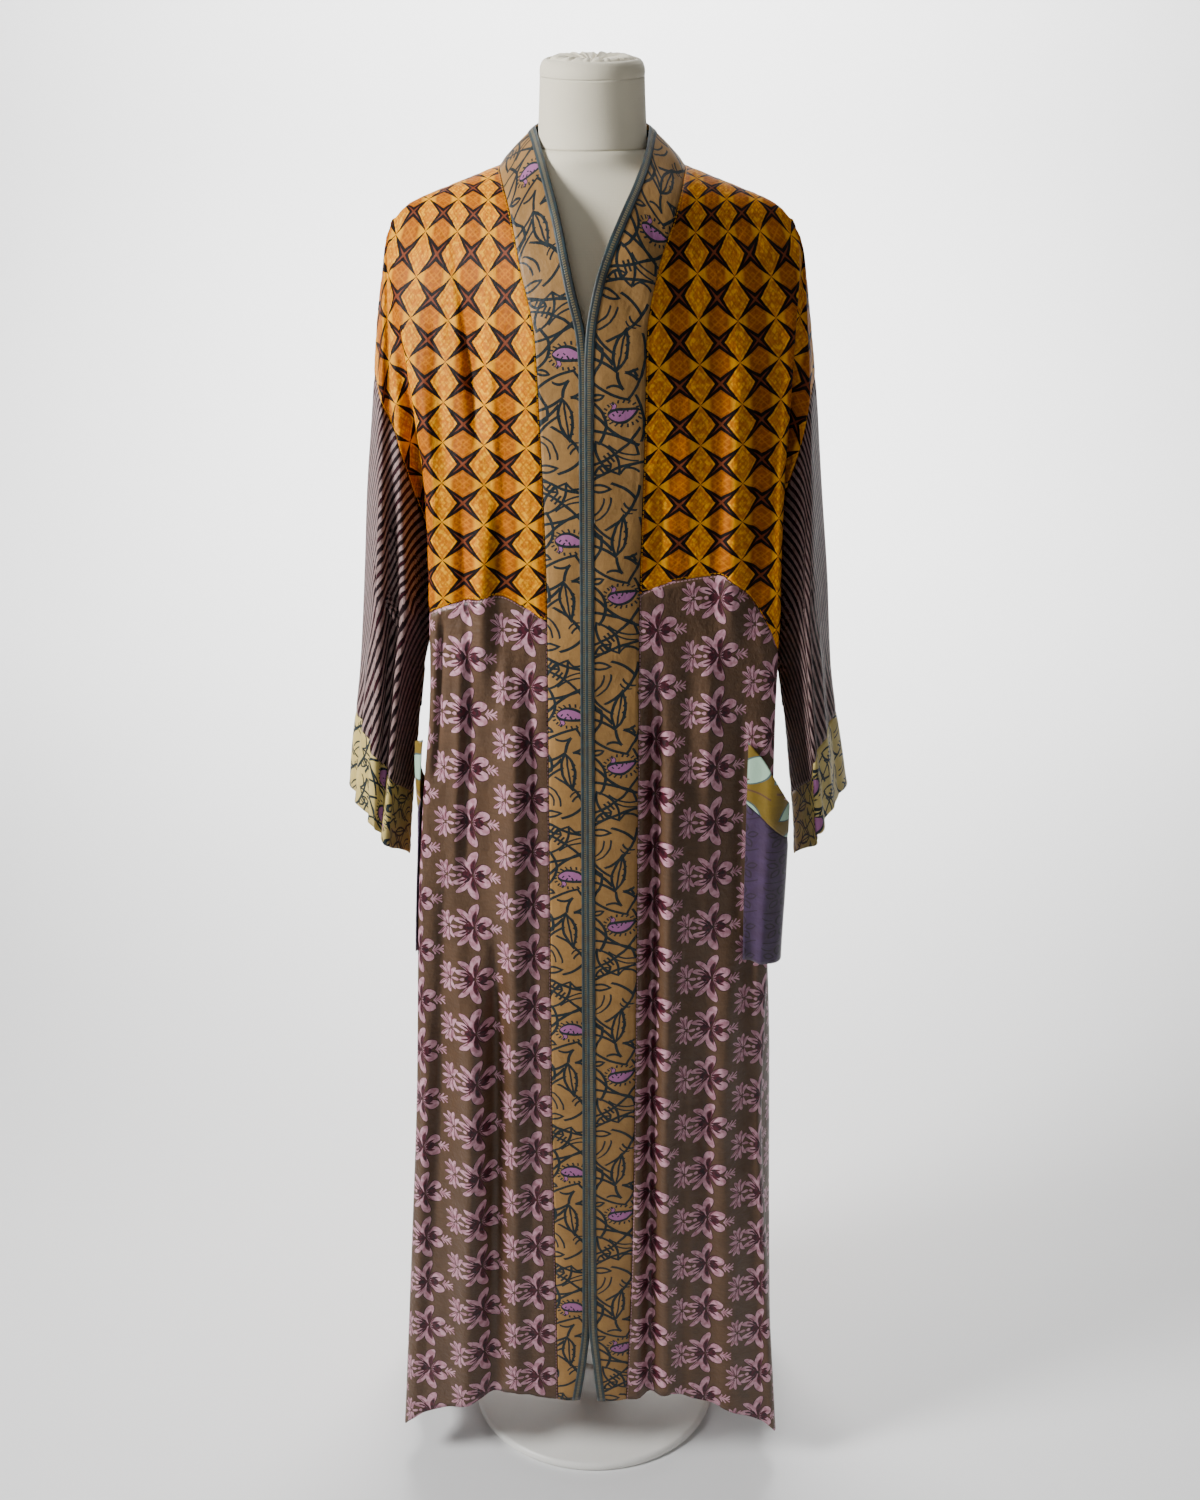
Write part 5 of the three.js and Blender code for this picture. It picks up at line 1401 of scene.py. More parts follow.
def floral_print(colours):
    """Pink drop-repeat flowers and palmettes on a brown ground."""
    dye = Dye("floral_silk")
    x, y = dye.flat("cut")
    place = dye.vector(x, y)
    sway = (dye.noise(place, 16.0) - 0.5) * 1.6
    x, y = x + sway, y + sway * -0.7
    x, y = x * PRINT_SHRINK[0], y * PRINT_SHRINK[1]
    flower, palmette = repeat(dye, x, y, FLOWER_FROM), repeat(dye, x, y, PALMETTE_FROM)
    gaps = dye.math("MAXIMUM", dye.drawn(flower, FLOWER_GAPS), dye.drawn(palmette, PALMETTE_VEINS))
    hearts = dye.drawn(flower, FLOWER_HEARTS)
    petal = dye.mix(dye.ramp(dye.noise(place, 6.0), 0.35, 0.65), colours.pink, colours.pale_pink)
    colour = weave_tone(dye, place, colours.brown, 0.25)
    for turn in (0, 1):             # every other petal lies over its neighbours, each with an outline
        laid = dye.math(
            "MAXIMUM", dye.drawn(flower, FLOWER[turn::2]), dye.drawn(palmette, PALMETTE[turn::2]))
        colour = dye.mix(dye.above(laid) * 0.8, colour, colours.wine)
        colour = dye.mix(dye.above(laid, PETAL_OUTLINE), colour, petal)
    colour = dye.mix(dye.above(gaps) * 0.8, colour, colours.maroon)
    rim = dye.ramp(hearts, 0.0, 0.12)
    inside = dye.mix(dye.ramp(dye.noise(place, 4.0), 0.4, 0.6), colours.maroon, colours.wine)
    colour = dye.mix(rim, colour, inside)
    colour = dye.mix(dye.stitches(1.0, 2.0) * 0.6, colour, colours.pale_pink)
    rough = dye.noise(place, 20.0) * 0.15 + 0.42
    return dye.finish(colour, rough, dye.crinkle(place, 0.6, (40.0, 12.0, 4.0)), Specular_IOR_Level=0.4)


VINE_REPEAT = 172.0
VINE_WIDE = 42.0
VINE_BOLD = 1.5
VINE_SPREAD = 0.82      # the chart is drawn a little narrower than the band
VINE_LOW = (       # drawn in a frame from 0 to the repeat
    ("ring", 0.5, 9.5, 21, 11.5, 9.0),
    ("stroke", 20, 6, 39, 20.7, 1.8, 2.4),
    ("stroke", 20, 19, 8, 41, 1.2, 3.5), ("stroke", 14.5, 19.5, 4, 38, 1.1, 3.0),
    ("ring", 23.4, 75.7, 29.4, 34.2, 12.5, 0, -0.25), ("stroke", 24.5, 72, 28.8, 38, 1.1),
    ("stroke", 28.5, 66, 31.8, 62, 1.1), ("stroke", 29.0, 59, 32.4, 55, 1.1),
    ("stroke", 29.6, 52, 32.6, 48, 1.1), ("stroke", 30.2, 46, 32.0, 42, 1.0),
    ("stroke", 0, 37.4, 12, 56, 1.8, -2.0), ("stroke", 12, 55, 10.6, 71, 1.7, 1.2),
    ("stroke", 10.6, 71, 3, 91.6, 1.7, -1.4),
    ("stroke", 0.8, 50.2, 21, 69.3, 1.8, 1.8), ("stroke", 0.8, 62.9, 24, 75.7, 1.8, 2.0),
    ("stroke", 24, 75.7, 28.7, 91.6, 1.7, -1.2), ("stroke", 28.7, 91.6, 15.9, 90, 1.7, -2.6),
    ("stroke", 30, 75.7, 40, 83, 1.8, 1.0), ("stroke", 30, 75.7, 40, 72.5, 1.7, -1.0),
    ("stroke", 36, 73, 39.5, 80, 1.5),
    ("stroke", 0.8, 110.7, 16, 125, 1.8, 1.4), ("stroke", 15.9, 125, 42, 143, 1.8, -1.8),
    ("stroke", 1.5, 128.2, 37, 139.4, 1.8, 1.5), ("stroke", 15.9, 125, 10.2, 142, 1.7, 1.0),
    ("stroke", 37, 139, 41, 152, 1.5, 0.5),
    ("ring", 7.5, 137.8, 27, 171, 15.5), ("stroke", 14, 152, 17, 156, 1.3),
    ("stroke", 17, 156.5, 20, 160.5, 1.3), ("stroke", 17, 149.5, 20, 153.5, 1.3),
    ("stroke", 19, 153, 22.5, 158, 1.3),
    ("stroke", 18, 142.6, 40, 151.5, 1.2, -3.0), ("stroke", 20, 147.5, 41, 157, 1.1, -3.0),
    ("ring", 3, 101, 15, 96.5, 7.0), ("stroke", 30, 164, 42, 168, 1.5, 2.0),
    ("stroke", 29.5, 24, 40, 31.5, 1.4, -2.4), ("stroke", 27.5, 29, 36.5, 34.5, 1.1, -2.2),
    ("stroke", 42, 8, 15, 50, 1.7, 6.0), ("stroke", 42, 38, 33, 100, 1.6, 7.0),
    ("stroke", 0, 78, 34, 101, 1.7, -4.0), ("stroke", 3, 101, 16, 128, 1.6, 4.0),
    ("stroke", 42, 126, 4, 162, 1.7, 5.0), ("stroke", 0, 24, 22, 60, 1.6, -5.0),
    ("stroke", 38, 96, 43, 140, 1.5, 4.0),
)
VINE_TOP = (       # drawn across the start of the repeat
    ("stroke", -2, 9, 46, -14, 1.8, 4.0), ("ring", 6.5, -1.5, 20.5, -11.5, 9.5),
    ("stroke", 11.5, -8, 14, -4.2, 1.3), ("stroke", 14.2, -9.8, 16.6, -6.2, 1.3),
    ("stroke", 27, -3.0, 41, -13, 1.3, 2.0),
)
PAISLEY = (
    ("petal", 41.0, 109.0, 17.0, 115.5, 15.5, 2.8), ("stroke", 20.5, 110.0, 19.5, 103.5, 4.2, -2.0),
)
PAISLEY_TICKS = (
    ("stroke", 23.5, 110.5, 25.0, 113.0, 1.3), ("stroke", 28.0, 113.6, 29.4, 110.6, 1.3),
    ("stroke", 31.5, 108.6, 32.4, 111.6, 1.3), ("stroke", 34.8, 110.6, 35.8, 108.4, 1.2),
    ("stroke", 20.6, 113.4, 22.0, 115.6, 1.2), ("stroke", 25.5, 116.0, 27.0, 114.4, 1.2),
)
PAISLEY_OUTLINE = 0.34
FRINGE_BOLD = 1.2
FRINGE_COUNT = 20
FRINGE = tuple(
    ("stroke",
     28.5 + 12.4 * math.cos(turn), 113.2 + 9.6 * math.sin(turn),
     28.5 + 15.6 * math.cos(turn + 0.08), 113.2 + 12.8 * math.sin(turn + 0.08), 1.3)
    for turn in (2 * math.pi * i / FRINGE_COUNT for i in range(FRINGE_COUNT))
)


def vine_print(name, colours, ground, turned_round=False, across_first=False):
    """Dark rope-like vines, leaves and fringed paisleys on a pale ground."""
    dye = Dye(name)
    x, y = dye.flat("cut")
    place = dye.vector(x, y)
    x = dye.wrap(x, 0.0, VINE_WIDE) if across_first else x * VINE_SPREAD
    if turned_round:
        x, y = VINE_WIDE + 1.0 - x, y * -1
    sway = (dye.noise(place, 14.0) - 0.5) * 2.0
    x, down = x + sway, y * -1 + sway
    low = dye.vector(x, dye.wrap(down, 0.0, VINE_REPEAT))
    top = dye.vector(x, dye.wrap(down, -VINE_REPEAT / 2, VINE_REPEAT / 2))
    paisley = dye.drawn(low, PAISLEY)
    ink_lines = dye.highest([
        dye.drawn(low, VINE_LOW, VINE_BOLD), dye.drawn(top, VINE_TOP, VINE_BOLD),
        dye.math("MINIMUM", paisley, PAISLEY_OUTLINE - paisley),
        dye.drawn(low, PAISLEY_TICKS), dye.drawn(low, FRINGE, FRINGE_BOLD),
    ])
    cloud = dye.ramp(dye.noise(place, 30.0, 3.0, 0.6), 0.3, 0.7)
    cloth = dye.mix(cloud, ground, dye.mix(0.16, ground, colours.umber))
    cloth = weave_tone(dye, place, cloth, 0.12)
    colour = dye.mix(dye.above(paisley), cloth, colours.orchid)
    rope = dye.ramp(dye.noise(place, 1.5, 1.0), 0.42, 0.62)
    colour = dye.mix(dye.above(ink_lines), colour, dye.mix(rope * 0.45, colours.ink, colours.teal))
    rough = dye.noise(place, 18.0) * 0.14 + 0.46
    return dye.finish(colour, rough, dye.crinkle(place, 0.4), Specular_IOR_Level=0.3)


STRIPE_PITCH = 11         # round the sleeve, in cut cloth, which hangs gathered to less
STRIPE_LEAN = 0.6         # how far a stripe wanders outwards round the sleeve as it runs down it


def stripe_print(colours):
    """Uneven woven stripes that slant outwards down the sleeve."""
    dye = Dye("sleeve_stripe_silk")
    x, y = dye.flat("cut")
    place = dye.vector(x, y)
    sway = (dye.noise(place, 30.0) - 0.5) * 2.4
    y = y + sway - dye.math("ABSOLUTE", x) * STRIPE_LEAN
    band = dye.math("PINGPONG", y * (2 / STRIPE_PITCH), 1.0)
    fleck = dye.noise(place, 3.0, 2.0, 0.6, (0.2, 1.0, 1.0))
    dark = dye.ramp(band + (fleck - 0.5) * 0.5, 0.42, 0.58)
    pin = dye.math("PINGPONG", y * (2 / STRIPE_PITCH / 3), 1.0)
    taupe = dye.mix(dye.ramp(fleck, 0.35, 0.65), colours.taupe, colours.mauve)
    colour = dye.mix(dark, taupe, colours.aubergine)
    colour = dye.mix(dye.ramp(pin, 0.93, 0.99) * 0.5, colour, colours.maroon)
    rough = dye.noise(place, 20.0) * 0.15 + 0.42
    return dye.finish(colour, rough, dye.crinkle(place, 0.5), Specular_IOR_Level=0.05)


TAPE_DASH = 2.1
TAPE_MIDDLE = 4.25


def tape_weave(colours):
    """Woven ribbon: teal selvedges and a pale ladder down its middle."""
    dye = Dye("edging_ribbon")
    x, y = dye.flat("cut")
    place = dye.vector(x, y)
    middle = dye.math("ABSOLUTE", x - TAPE_MIDDLE)
    ladder = 1 - dye.ramp(middle, 1.1, 1.6)
    gap = dye.math("PINGPONG", y * (2 / TAPE_DASH), 1.0)
    rung = dye.ramp(gap, 0.2, 0.45)
    edge = dye.mix(dye.ramp(dye.noise(place, 9.0), 0.35, 0.65), colours.teal, colours.ink)
    selvedge = dye.ramp(middle, 3.5, 3.9)
    colour = dye.mix(ladder * rung, edge, colours.rung)
    colour = dye.mix(selvedge * 0.2, colour, colours.rung)
    height = rung * ladder + dye.math("PINGPONG", (x + y) * 1.4, 1.0) * 0.3
    bump = dye.node("ShaderNodeBump", {"Height": height, "Strength": 0.5, "Distance": 0.0006})
    return dye.finish(colour, 0.55, bump.outputs[0], sheen=0.2)


LEAF_REPEAT = (92.0, 84.0)
LEAF_SHIFT = 6.0
BIG_PETALS = (
    ("ring", 4, 10, 44, 34, 26), ("ring", 48, 30, 84, 8, 24), ("ring", 30, 44, 66, 66, 26),
    ("ring", 62, 48, 90, 80, 27), ("ring", 0, 50, 30, 80, 25),
)
BIG_PETAL_FILL = tuple(("leaf", *row[1:]) for row in BIG_PETALS)
BRANCHES = (
    ("stroke", 2, 40, 52, 42, 2.2, 4.0), ("stroke", 52, 42, 90, 34, 2.0, -4.0),
    ("stroke", 30, 41, 24, 58, 1.8, 2.0), ("stroke", 62, 40, 70, 54, 1.8, -2.0),
    ("stroke", 12, 14, 38, 31, 1.0), ("stroke", 54, 27, 78, 12, 1.0), ("stroke", 36, 48, 60, 63, 1.0),
)
STAMENS = (
    ("stroke", 50, 46, 57, 52, 1.4), ("stroke", 52, 45, 60, 48, 1.4), ("stroke", 8, 34, 14, 28, 1.4),
)


def mustard_print(colours):
    """Large pale petals and brown branches on mustard."""
    dye = Dye("mustard_petal_silk")
    x, y = dye.flat("cut")
    place = dye.vector(x, y)
    local = dye.vector(
        dye.wrap(x + LEAF_SHIFT, 0.0, LEAF_REPEAT[0]), dye.wrap(y, 0.0, LEAF_REPEAT[1]))
    fill = dye.above(dye.drawn(local, BIG_PETAL_FILL))
    colour = dye.mix(fill, weave_tone(dye, place, colours.mustard, 0.2), colours.mint)
    colour = dye.mix(dye.above(dye.drawn(local, BRANCHES)), colour, colours.bark)
    colour = dye.mix(dye.above(dye.drawn(local, BIG_PETALS)), colour, colours.slate)
    colour = dye.mix(dye.above(dye.drawn(local, STAMENS)), colour, colours.pale_pink)
    return dye.finish(colour, 0.5, dye.crinkle(place, 0.4), sheen=0.15)


LINE_FLOWER_REPEAT = 34.0
LINE_FLOWERS = tuple(
    ("ring", 17 + 2.5 * math.cos(turn), 17 + 2.5 * math.sin(turn),
     17 + 14 * math.cos(turn), 17 + 14 * math.sin(turn), 7.0)
    for turn in (2 * math.pi * (i + 0.2) / 5 for i in range(5))
) + (("stroke", 3, 2, 31, 4, 1.2, 2.4), ("stroke", 2, 31, 12, 26, 1.2, 1.4))


def purple_print(colours):
    """Fine drawn flowers on purple."""
    dye = Dye("purple_line_silk")
    x, y = dye.flat("cut")
    place = dye.vector(x, y)
    local = dye.vector(*(dye.wrap(v, 0.0, LINE_FLOWER_REPEAT) for v in (x, y)))
    drawn = dye.above(dye.drawn(local, LINE_FLOWERS))
    ground = dye.mix(dye.ramp(dye.noise(place, 12.0, 3.0), 0.35, 0.65), colours.purple, colours.plum)
    colour = dye.mix(drawn * 0.75, weave_tone(dye, place, ground, 0.2), colours.aubergine)
    return dye.finish(colour, 0.52, dye.crinkle(place, 0.5), sheen=0.2)


def jersey(colours):
    """Cotton jersey stretched over the hard form."""
    dye = Dye("form_jersey")
    cloth = dye.in_space()
    x, _, z = dye.parts(cloth)
    cloud = dye.ramp(dye.noise(cloth, 60.0, 3.0, 0.6), 0.3, 0.7)
    colour = dye.mix(cloud * 0.5, colours.jersey, dye.mix(0.08, colours.jersey, colours.bark))
    rib = dye.math("PINGPONG", x * 1.1, 1.0) * 0.5 + dye.math("PINGPONG", z * 0.8, 1.0) * 0.5
    height = rib * 0.12 + dye.noise(cloth, 3.0, 2.0) * 0.25
    bump = dye.node("ShaderNodeBump", {"Height": height, "Strength": 0.35, "Distance": 0.0012})
    return dye.finish(colour, 0.85, bump.outputs[0], sheen=0.25)


def paint(colours):
    """Satin paint on steel, with a faint orange-peel texture and cloudy patches of grime."""
    dye = Dye("stand_paint")
    steel = dye.in_space()
    cloud = dye.ramp(dye.noise(steel, 45.0, 4.0, 0.6), 0.35, 0.75)
    colour = dye.mix(cloud * 0.35, colours.paint, dye.mix(0.12, colours.paint, colours.bark))
    bump = dye.node("ShaderNodeBump", {
        "Height": dye.noise(steel, 1.6, 2.0), "Strength": 0.12, "Distance": 0.0006,
    })
    return dye.finish(colour, dye.noise(steel, 26.0) * 0.12 + 0.32, bump.outputs[0])


# ---- the add-on ----
def length(name, text, value, low, high):
    """A size in metres that a user may change."""
    return bpy.props.FloatProperty(
        name=name, description=text, default=value, min=low, max=high, unit="LENGTH", precision=5)


def share(name, text, value, low=0.0, high=2.0):
    return bpy.props.FloatProperty(
        name=name, description=text, default=value, min=low, max=high, subtype="FACTOR")


def dye_colour(name, text, *value):
    return bpy.props.FloatVectorProperty(
        name=name, description=text, default=srgb(*value), size=3, min=0, max=1, subtype="COLOR")


class RobeSizes(bpy.types.PropertyGroup):
    """Sizes of the cloth and of its folds."""

    silk: length("Silk", "Thickness of one layer of silk", 0.0007, 0.0003, 0.002)
    tape: length("Tape", "Width of the edging tape", TAPE_WIDTH * MM, 0.004, 0.02)
    seam_depth: bpy.props.FloatProperty(
        name="Seam pull", description="How far cloth is drawn in at its seams, in millimetres",
        default=0.9, min=0, max=3)
    crease_depth: share("Crease depth", "Depth of the small creases against the drawn ones", 1.0)


class RobeColours(bpy.types.PropertyGroup):
    """Colours of the prints, the dress form and the stand."""

    gold: dye_colour("Gold", "Brightest yellow of the star print", 234, 162, 0)
    amber: dye_colour("Amber", "Ground of the star print's wide lozenges", 198, 118, 0)
    orange: dye_colour("Orange", "Outlines in the star print's lozenges", 168, 90, 0)
    rust: dye_colour("Rust", "Ground of the star print's tall lozenges", 150, 80, 2)
    ember: dye_colour("Ember", "Middle of each star", 112, 54, 30)
    umber: dye_colour("Umber", "Arms of each star", 18, 9, 7)
    brown: dye_colour("Brown", "Ground of the flower print", 84, 60, 40)
    pink: dye_colour("Pink", "Petals of the flower print", 158, 108, 122)
    pale_pink: dye_colour("Pale pink", "Lightest petals", 190, 144, 156)
    maroon: dye_colour("Maroon", "Hearts of the flowers", 70, 10, 28)
    wine: dye_colour("Wine", "Darker hearts of the flowers", 36, 6, 15)
    tan: dye_colour("Tan", "Ground of the neckband", 152, 114, 64)
    straw: dye_colour("Straw", "Ground of the cuffs", 196, 174, 104)
    ink: dye_colour("Ink", "Lines of the vine print", 20, 27, 31)
    teal: dye_colour("Teal", "Edging tape, and lights in the vines", 18, 44, 50)
    rung: dye_colour("Ladder", "Pale rungs of the edging tape", 100, 90, 62)
    orchid: dye_colour("Orchid", "Paisleys", 150, 92, 136)
    taupe: dye_colour("Taupe", "Pale stripes of the sleeve", 120, 98, 94)
    mauve: dye_colour("Mauve", "Lighter flecks in those stripes", 150, 126, 124)
    aubergine: dye_colour("Aubergine", "Dark stripes of the sleeve", 28, 17, 20)
    mustard: dye_colour("Mustard", "Ground of the pocket facing", 114, 90, 0)
    mint: dye_colour("Mint", "Petals of the pocket facing", 152, 182, 158)
    slate: dye_colour("Slate", "Outlines of those petals", 62, 82, 84)
    bark: dye_colour("Bark", "Branches of the pocket facing", 84, 56, 34)
    purple: dye_colour("Purple", "Ground of the pocket bag", 60, 38, 68)
    plum: dye_colour("Plum", "Darker parts of that ground", 64, 42, 76)
    jersey: dye_colour("Jersey", "Cover of the dress form", 224, 216, 192)
    paint: dye_colour("Paint", "Stand", 232, 230, 224)


class StageSizes(bpy.types.PropertyGroup):
    """Sizes of the studio."""

    sweep: length("Sweep", "Radius of the curve from floor to wall", 1.2, 0.3, 3)
    reach: length("Reach", "Half the width of the floor", 9.0, 3, 20)
    focal: bpy.props.FloatProperty(
        name="Focal length", description="Camera lens", default=45.6, min=20, max=120,
        subtype="DISTANCE_CAMERA")


def sizes():
    return bpy.context.scene.robe_sizes


def colours():
    return bpy.context.scene.robe_colours


def cut_and_hang(name, built, material, node, slot):
    points, normals, thick, flat, seam, (size, area) = built
    piece = shell(name, points, normals, thick, flat, seam)
    finish_piece(piece, material, [node], slot)
    size[0] > 0.01
    return piece


class ROBE_OT_form(bpy.types.Operator):
    """Build the dress form: torso, neck and gathered cap"""

    bl_idname = "robe.form"
    bl_label = "Dress form"

    def execute(self, context):
        material = jersey(colours())
        finish_piece(loft("form_torso_cover", torso_rings()), material, ["form_torso"], "form_jersey")
        finish_piece(loft("form_neck_cover", neck_rings()), material, ["form_neck"], "form_jersey")
        finish_piece(loft("form_cap_gathered", cap_rings()), material, ["neck_cap"], "form_jersey")
        return {"FINISHED"}


class ROBE_OT_stand(bpy.types.Operator):
    """Build the stand: socket, pole and round base"""

    bl_idname = "robe.stand"
    bl_label = "Stand"

    def execute(self, context):
        material = paint(colours())
        under = TORSO["z"].min() - TOUCH
        foot = under - SOCKET_DEEP
        socket = [(0.5, foot), (SOCKET_R - 8, foot), *rounded_edge(SOCKET_R - 8, foot + 8, 8, -80, 0),
                  (SOCKET_R, under - 1), (SOCKET_R - 1, under), (0.5, under)]
        low, high = HUB_TOP + TOUCH, foot - TOUCH
        pole = [(0.5, low), (POLE_R - 0.6, low), (POLE_R, low + 0.6),
                (POLE_R, high - 0.6), (POLE_R - 0.6, high), (0.5, high)]
        base = [(0.5, 0), (BASE_R - 2, 0), *rounded_edge(BASE_R - 4, 4, 4, -60, 0),
                *rounded_edge(BASE_R - 5, BASE_THICK - 5, 5, 0, 90), (HUB_R + 10, BASE_THICK + 1.4),
                (HUB_R + 4, BASE_THICK + 3.4), (HUB_R, BASE_THICK + 8), (HUB_R - 3.4, HUB_TOP - 3),
                (HUB_R - 5, HUB_TOP - 0.6), (HUB_R - 6.6, HUB_TOP), (0.5, HUB_TOP)]
        for name, profile, node in (
            ("stand_socket", socket, "pole_socket"), ("stand_pole", pole, "pole"),
            ("stand_base", base, "base"),
        ):
            finish_piece(turned(name, profile), material, [node], "stand_paint")
        return {"FINISHED"}


class ROBE_OT_fronts(bpy.types.Operator):
    """Hang the upper and lower front panels"""

    bl_idname = "robe.fronts"
    bl_label = "Fronts"

    def execute(self, context):
        star, floral = star_print(colours()), floral_print(colours())
        for side, word in SIDES.items():
            for upper, part, material, slot in (
                (True, "upper", star, "amber_print"), (False, "lower", floral, "floral_print"),
            ):
                cut_and_hang(
                    f"robe_front_{word}_{part}", build_front(side, upper, sizes()), material,
                    f"front_{word}_{part}", slot)
        return {"FINISHED"}


class ROBE_OT_back(bpy.types.Operator):
    """Hang the back"""

    bl_idname = "robe.back"
    bl_label = "Back"

    def execute(self, context):
        material = bpy.data.materials.get("amber_star_silk") or star_print(colours())
        cut_and_hang(
            "robe_back", build_back(sizes()), material, "back", "amber_print")
        return {"FINISHED"}


class ROBE_OT_sleeves(bpy.types.Operator):
    """Hang the striped sleeves and their cuffs"""

    bl_idname = "robe.sleeves"
    bl_label = "Sleeves and cuffs"

    def execute(self, context):
        stripes = stripe_print(colours())
        vine = vine_print("cuff_vine_silk", colours(), colours().straw, across_first=True)
        for side, word in SIDES.items():
            sleeve = build_sleeve(side, BODY_HALF, CUFF_S, SLEEVE_ROWS, sizes(), False)
            cuff = build_sleeve(side, CUFF_S, SLEEVE_END, CUFF_ROWS, sizes(), True)
            cut_and_hang(f"robe_sleeve_{word}", sleeve, stripes, f"sleeve_{word}", "sleeve_stripe")
            cut_and_hang(f"robe_cuff_{word}", cuff, vine, f"cuff_{word}", "vine_print")
        return {"FINISHED"}


class ROBE_OT_neckband(bpy.types.Operator):
    """Sew on the neckband and its edging tape"""

    bl_idname = "robe.neckband"
    bl_label = "Neckband and edging"

    def execute(self, context):
        ribbon = tape_weave(colours())
        for side, word in SIDES.items():
            vine = vine_print(
                f"neckband_{word}_vine_silk", colours(), colours().tan, turned_round=side < 0)
            tape = cut_and_hang(f"robe_edging_{word}", build_tape(side, sizes()), ribbon,
                                f"edging_{word}", "edging_tape")
            cut_and_hang(f"robe_neckband_{word}", build_band(side, sizes()), vine,
                         f"neckband_{word}", "vine_print")
        return {"FINISHED"}


class ROBE_OT_pockets(bpy.types.Operator):
    """Set the patch pockets on the lower fronts"""

    bl_idname = "robe.pockets"
    bl_label = "Pockets"

    def execute(self, context):
        mustard, purple = mustard_print(colours()), purple_print(colours())
        for side, word in SIDES.items():
            for part, material in (("facing", mustard), ("bag", purple)):
                name = f"pocket_{part}_{word}"
                cut_and_hang(f"robe_{name}", build_pocket(side, part, sizes()), material, name,
                             f"pocket_{part}")
        return {"FINISHED"}


FLOOR_GREY = srgb(228, 228, 228)
CAMERA_PLACE = (0.007, -1.85, 1.538)
CAMERA_TILT = 68.83
LAMPS = (      # name, place, aims at, watts, size, spread in degrees
    ("key", (-2.0, -0.85, 1.95), (0, 0, 1.05), 44, 0.8, 110),
    ("front_fill", (-0.6, -3.4, 2.2), (0, 0, 1.1), 4, 1.6, 90),
    ("back_fill", (0.6, 3.0, 2.6), (0, 0, 0.9), 5, 2.0, 180),
    ("wall", (0, 1.6, 3.4), (0, 5.0, 0.4), 330, 3.0, 110),
    ("floor", (0, 1.1, 2.6), (0, 0.8, 0), 24, 1.2, 80),
)
WORLD_STRENGTH = 0.17
FLOOR_BACK = 0.35       # where the floor starts to curve up, as a share of its reach
SWEEP_STEPS = 12


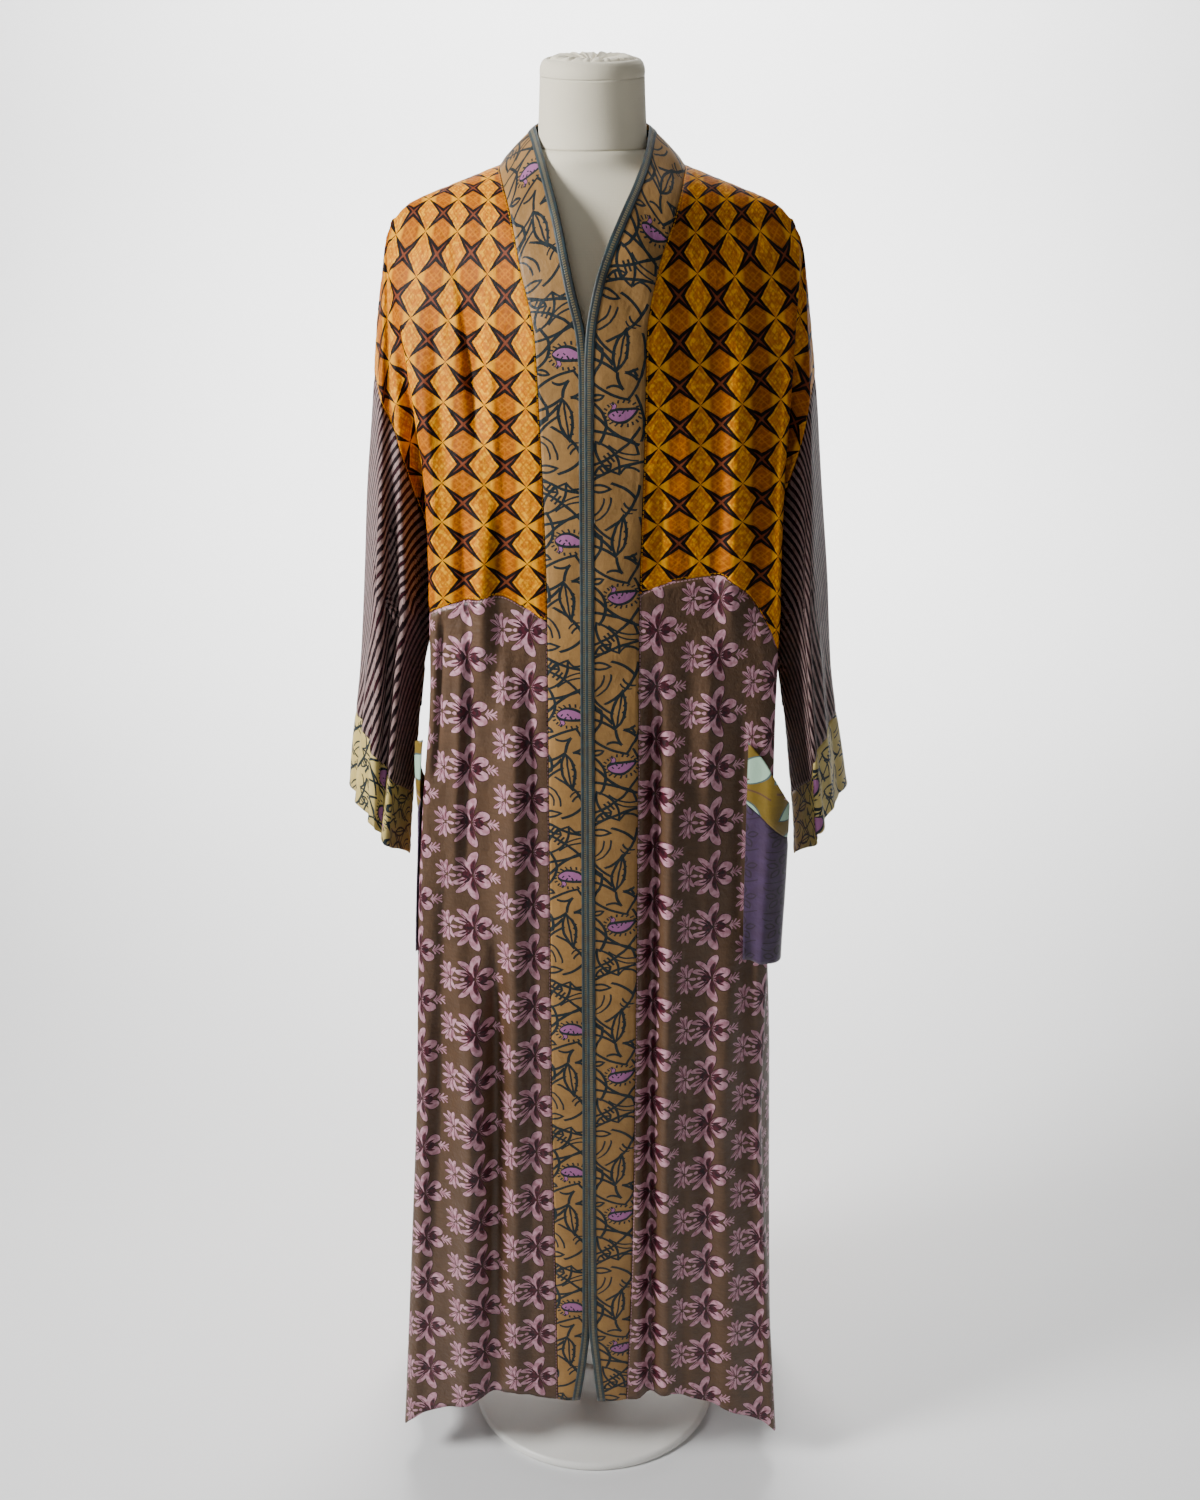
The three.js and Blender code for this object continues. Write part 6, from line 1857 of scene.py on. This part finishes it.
class ROBE_OT_stage(bpy.types.Operator):
    """Set up the floor, the lamps and the camera"""

    bl_idname = "robe.stage"
    bl_label = "Stage"

    def execute(self, context):
        scene = context.scene
        stage = scene.robe_stage
        turn = np.linspace(0, math.pi / 2, SWEEP_STEPS + 1)
        back = stage.reach * FLOOR_BACK
        profile = [(-stage.reach, 0.0), (back, 0.0)]
        profile += [(back + stage.sweep * math.sin(a), stage.sweep * (1 - math.cos(a)))
                    for a in turn[1:]]
        profile.append((profile[-1][0], stage.reach))
        points = [(x / MM, y / MM, z / MM) for y, z in profile for x in (-stage.reach, stage.reach)]
        faces = [(2 * i, 2 * i + 1, 2 * i + 3, 2 * i + 2) for i in range(len(profile) - 1)]
        floor = add_mesh("studio_sweep", points, faces)
        dye = Dye("studio_paper")
        place = dye.node("ShaderNodeTexCoord").outputs["Object"]
        tone = dye.mix(dye.noise(place, 0.6, 3.0) * 0.12, FLOOR_GREY, srgb(214, 214, 214))
        floor.data.materials.append(dye.finish(tone, 0.8))
        for name, spot, aim, watts, size, spread in LAMPS:
            light = bpy.data.lights.new(name, "AREA")
            light.energy = watts
            light.shape = "DISK"
            light.size = size
            light.spread = math.radians(spread)
            lamp = bpy.data.objects.new(name, light)
            lamp.location = spot
            away = [a - b for a, b in zip(spot, aim)]
            flat = math.hypot(away[0], away[1])
            lamp.rotation_euler = (math.atan2(flat, away[2]), 0, math.atan2(away[0], -away[1]))
            scene.collection.objects.link(lamp)
        world = bpy.data.worlds.new("studio_air")
        scene.world = world
        world.use_nodes = True
        world.node_tree.nodes["Background"].inputs["Color"].default_value = (1, 1, 1, 1)
        world.node_tree.nodes["Background"].inputs["Strength"].default_value = WORLD_STRENGTH
        lens = bpy.data.cameras.new("studio_camera")
        lens.lens = stage.focal
        camera = bpy.data.objects.new("studio_camera", lens)
        camera.location = CAMERA_PLACE
        camera.rotation_euler = (math.radians(CAMERA_TILT), 0, 0)
        scene.collection.objects.link(camera)
        scene.camera = camera
        return {"FINISHED"}


OPERATORS = (
    ROBE_OT_form, ROBE_OT_stand, ROBE_OT_fronts, ROBE_OT_back, ROBE_OT_sleeves, ROBE_OT_neckband,
    ROBE_OT_pockets, ROBE_OT_stage,
)


class ROBE_PT_panel(bpy.types.Panel):
    """Lists the robe's operators, sizes and colours"""

    bl_label = "Robe"
    bl_idname = "ROBE_PT_panel"
    bl_space_type = "VIEW_3D"
    bl_region_type = "UI"
    bl_category = "Robe"

    def draw(self, context):
        for operator in OPERATORS:
            self.layout.operator(operator.bl_idname)
        for group in (sizes(), colours(), context.scene.robe_stage):
            for name in group.bl_rna.properties.keys():
                if name not in ("rna_type", "name"):
                    self.layout.prop(group, name)


GROUPS = {"robe_sizes": RobeSizes, "robe_colours": RobeColours, "robe_stage": StageSizes}


def register():
    for group in (*GROUPS.values(), *OPERATORS, ROBE_PT_panel):
        bpy.utils.register_class(group)
    for name, group in GROUPS.items():
        setattr(bpy.types.Scene, name, bpy.props.PointerProperty(type=group))


def unregister():
    for name in GROUPS:
        delattr(bpy.types.Scene, name)
    for group in (ROBE_PT_panel, *reversed(OPERATORS), *reversed(GROUPS.values())):
        bpy.utils.unregister_class(group)


def main():
    register()
    bpy.ops.robe.form()
    bpy.ops.robe.stand()
    bpy.ops.robe.fronts()
    bpy.ops.robe.back()
    bpy.ops.robe.sleeves()
    bpy.ops.robe.neckband()
    bpy.ops.robe.pockets()
    bpy.ops.robe.stage()


if __name__ == "__main__":
    main()
